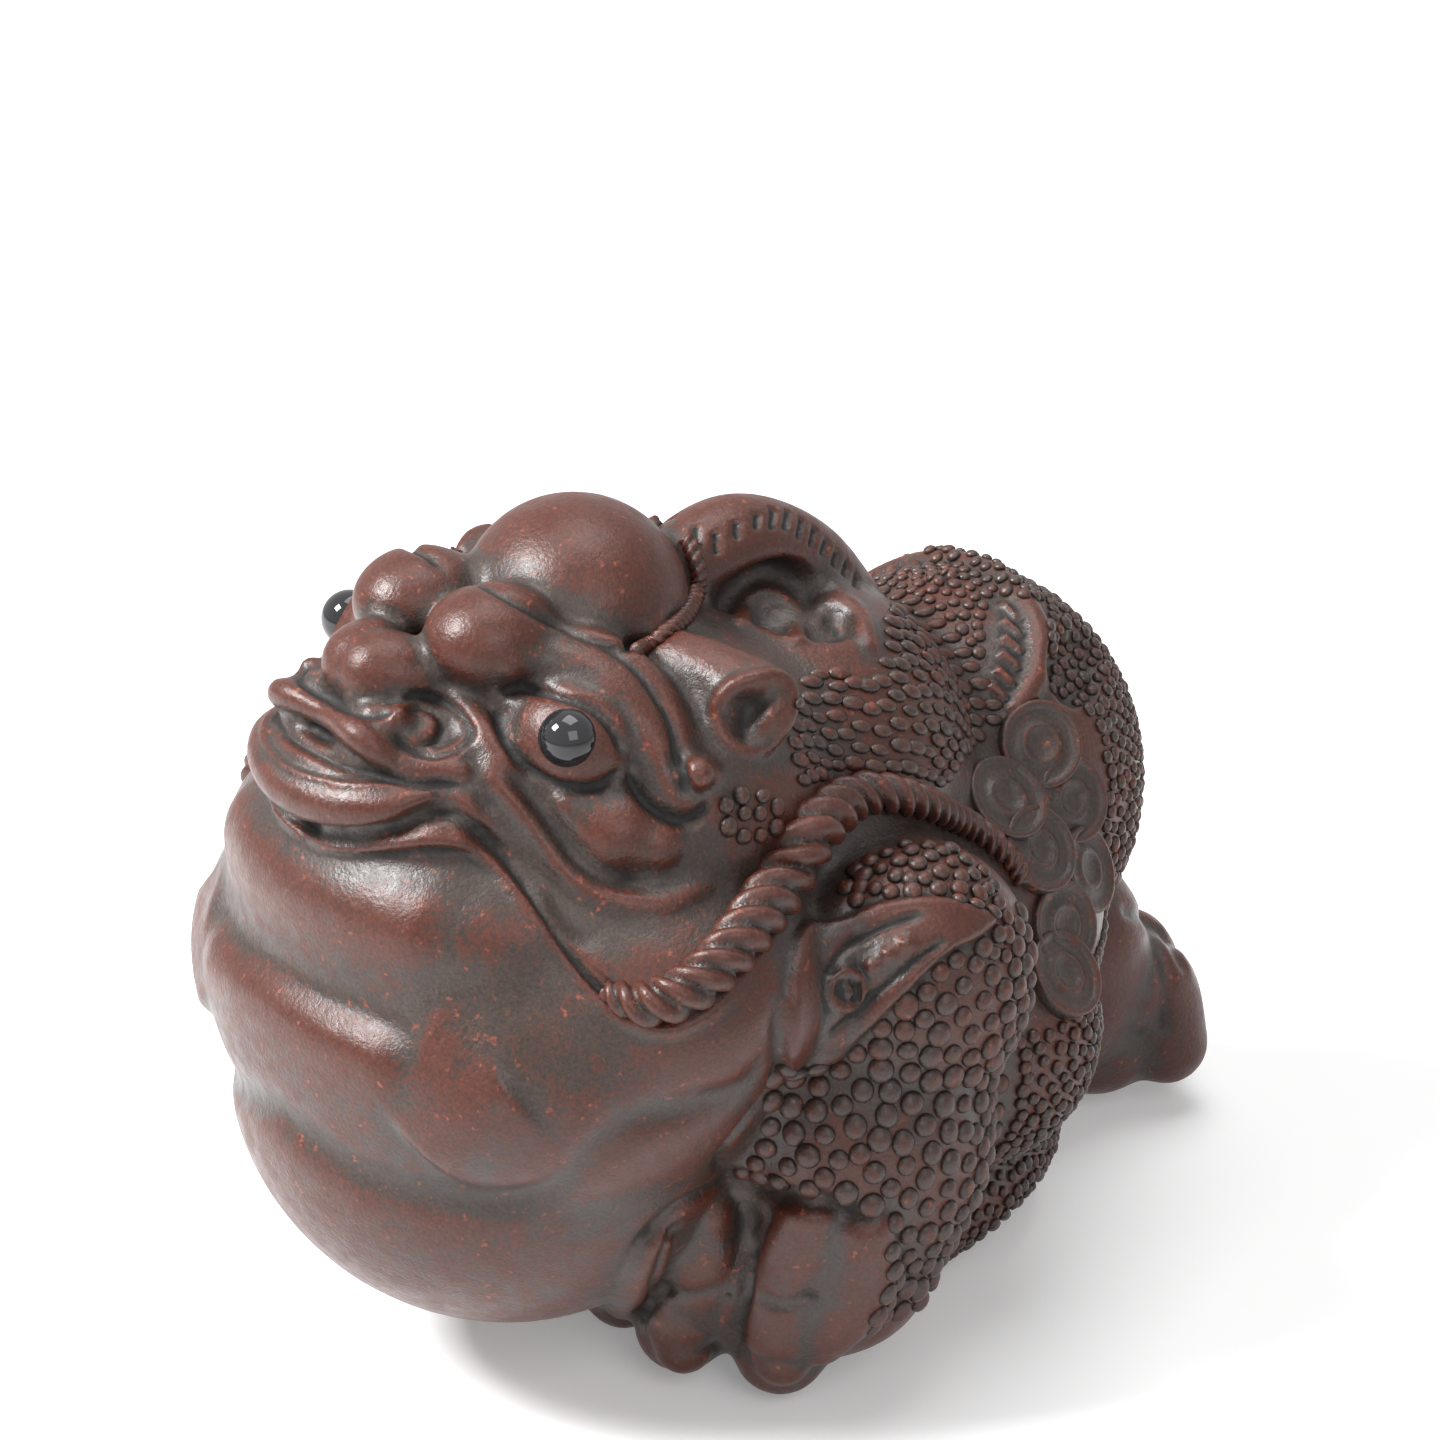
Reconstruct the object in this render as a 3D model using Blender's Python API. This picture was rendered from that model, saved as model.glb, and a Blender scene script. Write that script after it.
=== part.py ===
"""Three-legged money toad: a fired-clay tea pet with two glass eyes.

The toad faces -Y and stands on the XY plane, and +X is its own left side. Sizes are in millimetres,
and stand() turns them into metres. The clay is built up as a potter builds it: plain masses are
pressed together and rubbed smooth, rolls and pellets are laid on, folds are drawn out or pressed in
with strokes, and the foot is cut flat. Lines of the carving are named lists of photograph pixels,
cast along the camera's rays onto the clay.
"""

import math

import bmesh
import bpy
import numpy as np
from mathutils import Matrix, Vector
from mathutils.bvhtree import BVHTree

MM = 0.001

# Tools of the potter
MASS_GRAIN = 1.5
MASS_RUBS = 5
FEATURE_GRAIN = 0.7
FEATURE_RUBS = 2
CRISP_GRAIN = 0.5
CLAY_TRIANGLES = 10900

# Eyes, mouth slit and vent, cut into the clay
EYE_PLACE = (17.6, -39.9, 73.3)
EYE_RADIUS = 2.8
EYE_GAP = 0.3
SLIT = ((0, -58.5, 63), (8.5, 4, 0.6))
VENT_PLACE = (0, 8)
VENT_RADIUS = 1.8
VENT_DEPTH = 9

# Finish
CLAY_COLOUR = (0.12, 0.062, 0.045, 1)
CLAY_ROUGHNESS = 0.42
EYE_COLOUR = (0.008, 0.008, 0.01, 1)
EYE_ROUGHNESS = 0.06

# The photograph's camera, in millimetres and pixels
CAMERA_PLACE = Vector((337.7, -274.7, 255.9))
CAMERA_AIM = Vector((-5.6, -4.0, 56.7))
LENS = 120
SENSOR = 36
PHOTO_SIDE = 1440

# Masses on the middle line: centre and radii
MIDDLE_MASSES = {
    "throat": ((0, -36, 41.5), (33.5, 26.5, 22)),
    "pouch": ((0, -36, 32.5), (28, 26, 26.5)),
    "chin": ((0, -44, 55), (24.5, 16, 11)),
    "jaw": ((0, -32, 47), (36, 24, 17)),
    "skull": ((0, -26, 60), (27, 25, 18)),
    "muzzle": ((0, -43, 66), (17, 14, 9)),
    "neck": ((0, -6, 56), (24, 22, 20)),
    "body": ((0, 6, 36), (28, 28, 26)),
    "rump": ((0, 20, 46), (20, 21, 23.5)),
    "belly": ((0, -2, 9.5), (25, 34, 11)),
    "rear leg": ((0, 37.5, 19), (10.5, 10, 13)),
    "rear foot": ((0, 43.5, 9.5), (8.5, 9, 10)),
}

# Masses of each side
SIDE_MASSES = {
    "haunch": ((19.5, 7, 29), (13.5, 14, 14)),
    "shoulder": ((29, -8, 43), (10, 13, 14)),
    "forearm": ((29, -13, 27), (10, 13, 16)),
    "wrist": ((25.5, -14.5, 15), (10.5, 11, 12)),
    "forefoot": ((20, -17.5, 13), (12.5, 11, 12)),
}

# Forms laid on the masses
MIDDLE_LUMPS = {
    "pearl": ((0, -26, 77.4), (11, 10.8, 10.3)),
    "nose": ((0, -48.8, 74), (5, 5.4, 4.8)),
}
SIDE_LUMPS = {
    "eyeball": ((14.3, -37, 71.3), (6.6, 6.3, 6)),
    "forehead knob": ((5.7, -40, 79.4), (5.8, 6.6, 5)),
    "nostril lobe": ((4.8, -52.4, 72.6), (3.6, 3.4, 3.2)),
    "brow curl": ((23.4, -29.2, 68.4), (2.1, 2.1, 2.1)),
}
MIDDLE_ROLLS = {
    "crest": ((0, -15, 77, 4.5), (0, -7, 78.4, 5), (0, 1.5, 74.4, 4.6), (0, 8, 67, 4)),
    "upper lip": (
        (-13.5, -49.6, 65.6, 2.2),
        (-8.2, -53.2, 66.4, 3.2),
        (0, -55.2, 66.2, 3.8),
        (8.2, -53.2, 66.4, 3.2),
        (13.5, -49.6, 65.6, 2.2),
    ),
    "lower lip": (
        (-7, -52.4, 59.6, 2.6),
        (0, -53.6, 59.2, 3),
        (7, -52.4, 59.6, 2.6),
    ),
    "middle rear toe": ((0, 42, 13, 4.6), (0, 47.6, 10.6, 4.6), (0, 50, 4.6, 4.2)),
}
SIDE_ROLLS = {
    "brow": (
        (9.4, -41, 75.2, 2),
        (9.3, -37, 77, 3),
        (11.6, -33, 76.8, 3.4),
        (15.4, -31, 74.8, 3.4),
        (19, -30.6, 71.6, 3),
        (21.6, -31.4, 68.2, 2.2),
        (23.4, -31, 65.8, 1.6),
        (25, -29, 65.6, 1.2),
    ),
    "ear": ((12, -24, 75, 3), (16, -22.4, 74, 3.7), (19.8, -20.8, 72.4, 4.4)),
    "inner toe": ((15, -15, 17, 5.5), (9, -20, 14.5, 5), (6.9, -24, 9.5, 4.7), (6.8, -26, 5, 4.3)),
    "middle toe": (
        (20, -14, 18, 6.5),
        (17, -21, 15.5, 5.6),
        (16.2, -24.5, 9.5, 5.2),
        (16.2, -26, 5.2, 4.8),
    ),
    "outer toe": (
        (26, -12, 15, 6.5),
        (25.5, -18, 12, 6),
        (25.5, -20, 7, 5.4),
        (25.5, -21, 5.2, 4.8),
    ),
    "side rear toe": ((4, 41, 12.5, 4.5), (5.6, 45.6, 9.6, 4), (6, 47.6, 4.4, 3.8)),
}

# Rolls laid along photograph pixels: x, y and radius in millimetres
NOSE_TAIL = (
    (368, 662, 3), (404, 658, 3), (438, 672, 2.6), (468, 702, 2.2), (490, 738, 1.9), (508, 772, 1.7),
)
BROW_TAIL = (
    (632, 692, 1.2), (650, 724, 1.9), (664, 758, 2.1), (682, 788, 2), (702, 798, 1.6), (716, 784, 1.1),
)
BROW_CURL = ((695, 772, 1.5), (699, 774, 1.6))
NOSTRIL_BALL = ((414, 728, 1.2), (424, 730, 1.1))
LIP_FLAP = (
    (276, 690, 1.2), (300, 704, 1.3), (330, 712, 1.4), (362, 738, 1.4), (392, 760, 1.2), (430, 770, 1.1),
    (462, 772, 1),
)
LIP_FILL = ((262, 730, 1.6), (290, 748, 2), (326, 764, 2.2), (370, 776, 2), (420, 782, 1.4))
LIP_BAND = (
    (256, 762, 1.8), (284, 786, 2.2), (318, 800, 2.3), (356, 806, 2.2), (396, 804, 1.8), (428, 796, 1.2),
)
CHEEK_FOLD = (
    (490, 756, 1.8), (508, 792, 2.3), (532, 830, 2.5), (560, 864, 2.4), (594, 888, 2.2), (632, 904, 2),
    (672, 902, 1.6), (704, 886, 1),
)
CHEEK_BULGE = ((570, 806, 3), (600, 824, 4.2), (632, 838, 4.2), (660, 846, 3))
EAR_RIM = (
    (722, 738, 0.8), (715, 714, 0.8), (728, 690, 0.9), (752, 679, 0.9), (778, 677, 0.9), (790, 692, 0.9),
    (787, 718, 0.9), (768, 743, 0.9), (742, 752, 0.8), (722, 738, 0.8),
)
RUMP_BAND = (
    (930, 566, 1), (966, 566, 1.3), (1000, 580, 1.5), (1026, 612, 1.7), (1038, 645, 1.7), (1034, 680, 1.5),
    (1016, 708, 1.1),
)
CREST_CURLS = (
    ((738, 604, 1.3), (760, 592, 2), (784, 604, 2.2), (798, 632, 1.9), (800, 660, 1.3)),
    ((812, 604, 1.2), (836, 600, 1.8), (858, 618, 2), (870, 646, 1.7), (874, 670, 1.2)),
    ((690, 640, 1), (712, 622, 1.3), (736, 626, 1.3), (760, 640, 1)),
)
KNUCKLE_BLOCKS = (
    ((664, 1236, 2.6), (688, 1258, 3), (712, 1258, 2.6)),
    ((650, 1330, 2.6), (676, 1334, 2.8), (698, 1338, 2.4)),
    ((776, 1268, 2.4), (800, 1272, 2.6), (822, 1280, 2.2)),
    ((764, 1340, 2.6), (786, 1344, 3), (806, 1346, 2.6)),
)

# Strokes along photograph pixels
MOUTH_LINE = (
    (304, 828), (340, 832), (388, 832), (420, 818), (444, 811), (468, 822), (496, 844), (520, 874),
    (540, 910), (564, 950), (592, 986), (616, 1006), (652, 1019), (676, 1016),
)
LOWER_RIM_LINE = (
    (306, 838), (332, 846), (360, 848), (420, 840), (456, 841), (478, 852), (500, 874), (528, 910),
    (556, 950), (584, 986), (612, 1012), (648, 1028), (680, 1028), (716, 1008), (748, 972), (770, 936),
)
UPPER_RIM_LINE = (
    (444, 802), (474, 812), (504, 840), (528, 876), (548, 912), (568, 942), (592, 970), (612, 982),
)
UPPER_RIM_GROOVE = ((470, 790), (500, 812), (526, 850), (552, 892), (568, 924), (600, 948))
CHIN_CREASE_LINE = (
    (216, 908), (250, 945), (290, 978), (330, 1000), (380, 1022), (430, 1046), (480, 1068), (530, 1082),
)
POUCH_CREASE_LINE = (
    (238, 1076), (290, 1125), (350, 1168), (420, 1195), (500, 1203), (556, 1188), (596, 1150), (636, 1122),
    (700, 1106), (745, 1086), (772, 1040), (778, 990),
)
CHIN_LOBE_LINE = ((240, 870), (310, 890), (380, 912), (450, 940))
THROAT_LOBE_LINE = ((236, 960), (290, 1000), (345, 1035), (410, 1065))
POUCH_LOBE_LINE = ((420, 1155), (470, 1120), (520, 1090))
UPPER_LID_LINE = ((494, 698), (522, 688), (560, 694), (594, 708), (616, 732), (626, 758))
LOWER_LID_LINE = ((492, 708), (508, 744), (532, 772), (564, 787), (600, 786), (622, 768))
ARM_EDGE_LINE = ((776, 990), (778, 1072), (748, 1120), (720, 1160), (740, 1182), (790, 1200), (840, 1206))
FOOT_EDGE_LINE = ((628, 1262), (660, 1222), (700, 1194), (744, 1180), (790, 1196), (840, 1206), (884, 1226))
TOE_SPLIT_LINE = ((794, 1212), (770, 1248), (758, 1300), (742, 1324), (734, 1366))
INNER_TOE_LINE = ((664, 1226), (656, 1262), (648, 1300), (632, 1330))
KNUCKLE_LINES = (
    ((644, 1300), (676, 1298), (706, 1305), (726, 1318)),
    ((764, 1306), (794, 1304), (822, 1314), (838, 1340)),
)

# Outlines on the photograph of what is raised or sunk
LEAF_OUTLINE = (
    (782, 1072), (783, 1012), (786, 962), (800, 922), (830, 922), (880, 902), (940, 896), (996, 916),
    (976, 940), (944, 956), (920, 980), (892, 1008), (864, 1036), (836, 1062),
)
EAR_HOLE = ((729, 726), (727, 706), (742, 692), (766, 688), (780, 690), (774, 716), (758, 736), (741, 741))
HOOD_OUTLINE = (
    (508, 686), (530, 683), (562, 689), (596, 704), (618, 728), (632, 756), (654, 782), (668, 780),
    (670, 745), (658, 708), (636, 672), (604, 646), (560, 634), (520, 650), (502, 668),
)
CREST_HOLLOW = (
    (706, 606), (722, 584), (750, 566), (784, 556), (814, 566), (842, 588), (866, 614), (850, 640),
    (800, 640), (750, 622),
)
RUMP_PANEL = (
    (1048, 640), (1066, 624), (1090, 632), (1106, 660), (1104, 698), (1080, 712), (1056, 700), (1046, 670),
)

# What is laid on, with its lift, and what is drawn, with its width and height
LAID_ROLLS = (
    (NOSE_TAIL, -0.2),
    (NOSTRIL_BALL, 0.3),
    (LIP_FLAP, 0.1),
    (LIP_FILL, -0.3),
    (LIP_BAND, -0.3),
    (BROW_TAIL, -0.2),
    (BROW_CURL, 0.2),
    (CHEEK_FOLD, -0.45),
    (CHEEK_BULGE, -0.6),
    (EAR_RIM, 0.1),
    (RUMP_BAND, 0),
    *[(curl, 0.1) for curl in CREST_CURLS],
    *[(block, -0.5) for block in KNUCKLE_BLOCKS],
)
STROKES = (
    (CHIN_CREASE_LINE, 3, -1.5),
    (POUCH_CREASE_LINE, 2, -0.9),
    (CHIN_LOBE_LINE, 5, 0.7),
    (THROAT_LOBE_LINE, 4, 0.9),
    (POUCH_LOBE_LINE, 4, 1),
    (UPPER_RIM_LINE, 1.4, 0.9),
    (UPPER_RIM_GROOVE, 1.4, -0.9),
    (MOUTH_LINE, 1, -1.7),
    (LOWER_RIM_LINE, 1, 0.8),
    (UPPER_LID_LINE, 0.9, -0.7),
    (LOWER_LID_LINE, 0.9, -0.7),
    (ARM_EDGE_LINE, 1.1, -1),
    (FOOT_EDGE_LINE, 1, -1),
    (TOE_SPLIT_LINE, 1.1, -1.3),
    (INNER_TOE_LINE, 1, -1),
    *[(line, 0.9, -0.9) for line in KNUCKLE_LINES],
)
HOLLOWS = ((CREST_HOLLOW, -2.4, 12, 16), (EAR_HOLE, -2.4, 8, 7))
PATCHES = ((LEAF_OUTLINE, 1.1, 8, 20), (HOOD_OUTLINE, 0.8, 10, 14), (RUMP_PANEL, -1.6, 12, 12))

# Twisted cord from the corner of the mouth over the shoulder: x, y and radius
CORD_LINE = (
    (607, 987, 1), (628, 998, 1.8), (655, 1003, 2.2), (688, 990, 2.3), (716, 966, 2.3), (742, 936, 2.4),
    (764, 902, 2.5), (780, 866, 2.6), (802, 830, 2.5), (832, 804, 2.2), (864, 792, 1.8), (900, 796, 1.5),
    (940, 812, 1.4), (980, 834, 1.3), (1010, 862, 1.1), (1020, 884, 0.9),
)
STRAND_LEAD = 4.8
CORD_SIDES = 9
CORD_STEP = 0.95

# Coins along the flank: middle pixel
COINS = (
    (1038, 745), (1004, 800), (1068, 800), (1036, 850), (1084, 870), (1060, 925), (1062, 975),
)
COIN_LIFT = 0.1
COIN_TIP = (0.2, -0.8, 0.5)
COIN_PROFILE = (
    (4.5, -1.5), (4.5, 0.7), (4.35, 0.95), (4, 0.98), (3.7, 0.65), (3.4, 0.55), (2.3, 0.55), (2.1, 0.8),
    (1.7, 0.8), (1.5, 0.5), (0.4, 0.45),
)
COIN_SIDES = 16

# Pellets on the arm
PELLET_PITCH = 5.2
PELLET_RADIUS = 2
PELLET_LIFT = 0.3
FOOT_OUTLINE = (
    (560, 1300), (628, 1256), (660, 1220), (740, 1180), (790, 1192), (850, 1204), (888, 1228), (880, 1290),
    (860, 1360), (800, 1420), (600, 1420),
)
SHOULDER_OUTLINE = (
    (838, 892), (856, 862), (900, 842), (950, 846), (990, 872), (1012, 920), (1008, 970), (985, 960),
    (996, 916), (940, 894), (880, 900), (850, 908),
)


def keep(mesh, name):
    """Puts a mesh into the scene as an object."""
    piece = bpy.data.objects.new(name, mesh)
    bpy.context.scene.collection.objects.link(piece)
    return piece


def flipped(place):
    """A place, or a path of places, on the toad's other side."""
    if isinstance(place[0], (tuple, list, Vector, np.ndarray)):
        return tuple(flipped(point) for point in place)
    return (-place[0], *place[1:])


def lump(centre, radii, turn=(0, 0, 0), rings=4):
    """A ball of clay pressed to three radii and turned about X, Y and Z by degrees."""
    mesh = bpy.data.meshes.new("lump")
    ball = bmesh.new()
    bmesh.ops.create_icosphere(ball, subdivisions=rings, radius=1)
    turned = Matrix.Identity(4)
    for axis, angle in zip("XYZ", turn):
        turned = Matrix.Rotation(math.radians(angle), 4, axis) @ turned
    ball.transform(Matrix.Translation(Vector(centre)) @ turned @ Matrix.Diagonal((*radii, 1)))
    ball.to_mesh(mesh)
    ball.free()
    return keep(mesh, "lump")


def curved(points, steps=6):
    """A smooth curve through the points, whatever number of values each one has."""
    knots = [np.array(point, float) for point in (points[0], *points, points[-1])]
    path = []
    for a, b, c, d in zip(knots, knots[1:], knots[2:], knots[3:]):
        for t in np.arange(steps) / steps:
            bend = 2 * a - 5 * b + 4 * c - d
            path.append(b + 0.5 * ((c - a) * t + bend * t**2 + (3 * b - a - 3 * c + d) * t**3))
    path.append(knots[-1])
    return np.array(path)


def joined(name, pieces):
    """One object that holds the meshes of all the pieces."""
    together = bmesh.new()
    for piece in pieces:
        together.from_mesh(piece.data)
        bpy.data.objects.remove(piece)
    mesh = bpy.data.meshes.new(name)
    together.to_mesh(mesh)
    together.free()
    return keep(mesh, name)


def roll(path):
    """A round-ended roll of clay along a path of x, y, z and radius."""
    line = bpy.data.curves.new("roll", "CURVE")
    line.dimensions = "3D"
    line.bevel_depth = 1
    line.bevel_resolution = 6
    line.use_fill_caps = True
    spline = line.splines.new("POLY")
    spline.points.add(len(path) - 1)
    for point, (x, y, z, radius) in zip(spline.points, path):
        point.co = (x, y, z, 1)
        point.radius = radius
    guide = keep(line, "roll")
    body = keep(bpy.data.meshes.new_from_object(guide), "roll")
    bpy.data.objects.remove(guide)
    ends = [lump(tuple(path[i][:3]), [path[i][3]] * 3, rings=3) for i in (0, -1)]
    return joined("roll", [body, *ends])


def settle(clay):
    """Applies the modifiers of an object."""
    graph = bpy.context.evaluated_depsgraph_get()
    mesh = bpy.data.meshes.new_from_object(clay.evaluated_get(graph))
    clay.modifiers.clear()
    clay.data = mesh
    return clay


def knead(name, pieces, grain, rubs):
    """Presses the pieces into one skin and rubs it smooth."""
    clay = joined(name, pieces)
    press = clay.modifiers.new("press together", "REMESH")
    press.mode = "VOXEL"
    press.voxel_size = grain
    rub = clay.modifiers.new("rub smooth", "SMOOTH")
    rub.factor = 0.5
    rub.iterations = round(rubs)
    return settle(clay)


def camera_axes():
    back = (CAMERA_PLACE - CAMERA_AIM).normalized()
    right = Vector((0, 0, 1)).cross(back).normalized()
    return right, back.cross(right), back


def pixels_of(places):
    """Where places, as rows of x, y and z, fall on the photograph."""
    right, up, back = (np.array(axis) for axis in camera_axes())
    away = places - np.array(CAMERA_PLACE)
    focal = PHOTO_SIDE * LENS / SENSOR
    depth = -(away @ back)
    middle = PHOTO_SIDE / 2
    return np.stack([middle + focal * (away @ right) / depth, middle - focal * (away @ up) / depth], axis=1)


class Sight:
    """Casts pixels of the photograph onto a clay object."""

    def __init__(self, clay):
        corners = [corner.co for corner in clay.data.vertices]
        self.tree = BVHTree.FromPolygons(corners, [face.vertices for face in clay.data.polygons])

    def spot(self, pixel):
        """The place and the outward direction under a pixel."""
        right, up, back = camera_axes()
        focal = PHOTO_SIDE * LENS / SENSOR
        middle = PHOTO_SIDE / 2
        ray = right * (pixel[0] - middle) + up * (middle - pixel[1]) - back * focal
        return self.tree.ray_cast(CAMERA_PLACE, ray.normalized())[:2]

    def path(self, pixels, steps=6):
        """Places on the clay under a smooth line through the pixels."""
        found = [self.spot(pixel)[0] for pixel in curved(pixels, steps)]
        return [place for place in found if place is not None]

    def seated(self, pixels, lift, steps=6):
        """A path of x, y, z and radius whose middle stands off the clay by a share of the radius."""
        path = []
        for x, y, radius in curved(pixels, steps):
            place, outward = self.spot((x, y))
            if place is not None:
                path.append((*(place + outward * lift * radius), radius))
        path = np.array(path)
        for _ in range(4):
            path[1:-1] = (path[:-2] + 2 * path[1:-1] + path[2:]) / 4
        return path


def skin_of(clay):
    count = len(clay.data.vertices)
    skin = np.empty(count * 3)
    outward = np.empty(count * 3)
    clay.data.vertices.foreach_get("co", skin)
    clay.data.vertex_normals.foreach_get("vector", outward)
    return skin.reshape(-1, 3), outward.reshape(-1, 3)


def set_skin(clay, skin):
    clay.data.vertices.foreach_set("co", skin.ravel())
    clay.data.update()


def distance_to_line(places, line):
    """How far each place is from a line, and how far along the line its nearest point is."""
    nearest = np.full(len(places), np.inf)
    along_line = np.zeros(len(places))
    for i, (start, end) in enumerate(zip(line, line[1:])):
        along = end - start
        share = np.clip((places - start) @ along / max(along @ along, 1e-9), 0, 1)
        distance = np.linalg.norm(places - start - share[:, None] * along, axis=1)
        closer = distance < nearest
        nearest[closer] = distance[closer]
        along_line[closer] = (i + share[closer]) / (len(line) - 1)
    return nearest, along_line


def closed_line(line):
    return np.linalg.norm(line[0] - line[-1]) < 0.5


def stroke(clay, path, width, height, taper=0.14):
    """Draws the skin out along a path, or presses it in where the height is under zero."""
    skin, outward = skin_of(clay)
    line = np.array([tuple(point) for point in path])
    reach = 3 * width
    near = np.all((skin > line.min(0) - reach) & (skin < line.max(0) + reach), axis=1)
    distance, along = distance_to_line(skin[near], line)
    fade = np.clip(np.minimum(along, 1 - along) / taper, 0, 1)
    fade = np.ones(len(fade)) if closed_line(line) else fade * fade * (3 - 2 * fade)
    skin[near] += outward[near] * (height * fade * np.exp(-((distance / width) ** 2)))[:, None]
    set_skin(clay, skin)


def on_both_sides(path):
    """The path and its mirror image, or one path across the middle where it starts beyond it."""
    near_side = [place for place in path if place[0] > 0]
    if len(near_side) < len(path):
        return [(*flipped(near_side)[::-1], *near_side)]
    return [path, flipped(path)]


def stroke_both(clay, path, width, height):
    for line in on_both_sides(path):
        stroke(clay, line, width, height)


def inside_outline(places, outline):
    """Signed distance in pixels from an outline on the photograph, over zero inside it."""
    inside = np.zeros(len(places), bool)
    for (ax, ay), (bx, by) in zip(outline, np.roll(outline, -1, axis=0)):
        crosses = (ay > places[:, 1]) != (by > places[:, 1])
        if by != ay:
            inside ^= crosses & (places[:, 0] < (bx - ax) * (places[:, 1] - ay) / (by - ay) + ax)
    distance = distance_to_line(places, np.vstack([outline, outline[:1]]))[0]
    return np.where(inside, distance, -distance)


def patch_heights(places, outward, outline, centre, reach):
    """Signed distances for the skin that the photograph sees near a place, and -inf elsewhere."""
    found = np.full(len(places), -np.inf)
    to_camera = np.array(CAMERA_PLACE) - places
    seen = np.einsum("ij,ij->i", outward, to_camera) > 0
    near = seen & (np.linalg.norm(places - np.array(centre), axis=1) < reach)
    found[near] = inside_outline(pixels_of(places[near]), outline)
    return found


def patch(clay, sight, outline, height, edge, reach):
    """Raises or sinks the skin inside an outline on the photograph, on both sides of the toad."""
    outline = curved((*outline, outline[0]), 4)[:-1]
    centre = sight.spot(outline.mean(axis=0))[0]
    skin, outward = skin_of(clay)
    mirror = np.array((-1, 1, 1))
    for turn in (1, mirror):
        depth = patch_heights(skin * turn, outward * turn, outline, centre, reach)
        share = np.clip(depth / edge, 0, 1)
        share = share * share * (3 - 2 * share)
        skin += outward * (height * share)[:, None]
    set_skin(clay, skin)


def build_masses():
    masses = [lump(*mass) for mass in MIDDLE_MASSES.values()]
    for centre, radii in SIDE_MASSES.values():
        masses += [lump(centre, radii), lump(flipped(centre), radii)]
    return knead("masses", masses, MASS_GRAIN, MASS_RUBS)


def lay_on_forms(clay):
    forms = [clay] + [lump(*each) for each in MIDDLE_LUMPS.values()]
    forms += [roll(curved(path)) for path in MIDDLE_ROLLS.values()]
    for centre, radii in SIDE_LUMPS.values():
        forms += [lump(centre, radii), lump(flipped(centre), radii)]
    for path in SIDE_ROLLS.values():
        forms += [roll(curved(path)), roll(flipped(curved(path)))]
    return knead("forms", forms, FEATURE_GRAIN, FEATURE_RUBS)


def lay_on_features(clay):
    sight = Sight(clay)
    for outline, height, margin, brow in HOLLOWS:
        patch(clay, sight, np.array(outline), height, margin, brow)
    features = [clay]
    for pixels, lift in LAID_ROLLS:
        features += [roll(line) for line in on_both_sides(sight.seated(pixels, lift))]
    return knead("toad_body", features, FEATURE_GRAIN, FEATURE_RUBS)


def draw_folds(clay, sight):
    for pixels, width, height in STROKES:
        stroke_both(clay, sight.path(pixels), width, height)
    for outline, height, margin, brow in PATCHES:
        patch(clay, sight, np.array(outline), height, margin, brow)


def thin_out(clay, triangles):
    """Keeps about that many triangles, most of them where the skin bends."""
    fewer = clay.modifiers.new("fewer faces", "DECIMATE")
    fewer.ratio = triangles / (2 * len(clay.data.polygons))
    fewer.use_collapse_triangulate = True
    return settle(clay)


def tube_of(name, rings):
    """A closed mesh whose skin passes through rings of corners, the first and the last capped."""
    count, sides = rings.shape[:2]
    faces = []
    for i in range(count - 1):
        for j in range(sides):
            k = (j + 1) % sides
            faces.append((i * sides + j, i * sides + k, (i + 1) * sides + k, (i + 1) * sides + j))
    faces.append(tuple(range(sides))[::-1])
    faces.append(tuple((count - 1) * sides + j for j in range(sides)))
    mesh = bpy.data.meshes.new(name)
    mesh.from_pydata(rings.reshape(-1, 3).tolist(), [], faces)
    mesh.update()
    return outward_faced(keep(mesh, name))


def outward_faced(piece):
    body = bmesh.new()
    body.from_mesh(piece.data)
    bmesh.ops.recalc_face_normals(body, faces=body.faces[:])
    bmesh.ops.triangulate(body, faces=body.faces[:])
    body.to_mesh(piece.data)
    body.free()
    return piece


def twisted(path, strands=3, depth=0.45):
    """A cord of strands laid round each other along a path of x, y, z and radius."""
    path = np.array(path)
    lengths = np.concatenate([[0], np.cumsum(np.linalg.norm(np.diff(path[:, :3], axis=0), axis=1))])
    stations = np.linspace(0, lengths[-1], int(lengths[-1] / CORD_STEP))
    middle = np.stack([np.interp(stations, lengths, path[:, axis]) for axis in range(4)], axis=1)
    ahead = np.gradient(middle[:, :3], axis=0)
    ahead /= np.linalg.norm(ahead, axis=1)[:, None]
    across = np.cross(ahead, (0.3, 0.2, 1))
    across /= np.linalg.norm(across, axis=1)[:, None]
    above = np.cross(across, ahead)
    angle = np.linspace(0, 2 * np.pi, CORD_SIDES, endpoint=False)
    turns = np.cumsum(CORD_STEP / (STRAND_LEAD * middle[:, 3]))
    lobes = np.abs(np.cos(strands / 2 * (angle[None] + 2 * np.pi * turns[:, None])))
    radius = middle[:, 3:4] * (1 - depth + depth * lobes**0.7)
    away = np.cos(angle)[None, :, None] * across[:, None]
    away += np.sin(angle)[None, :, None] * above[:, None]
    return tube_of("cord", middle[:, None, :3] + radius[:, :, None] * away)


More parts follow.
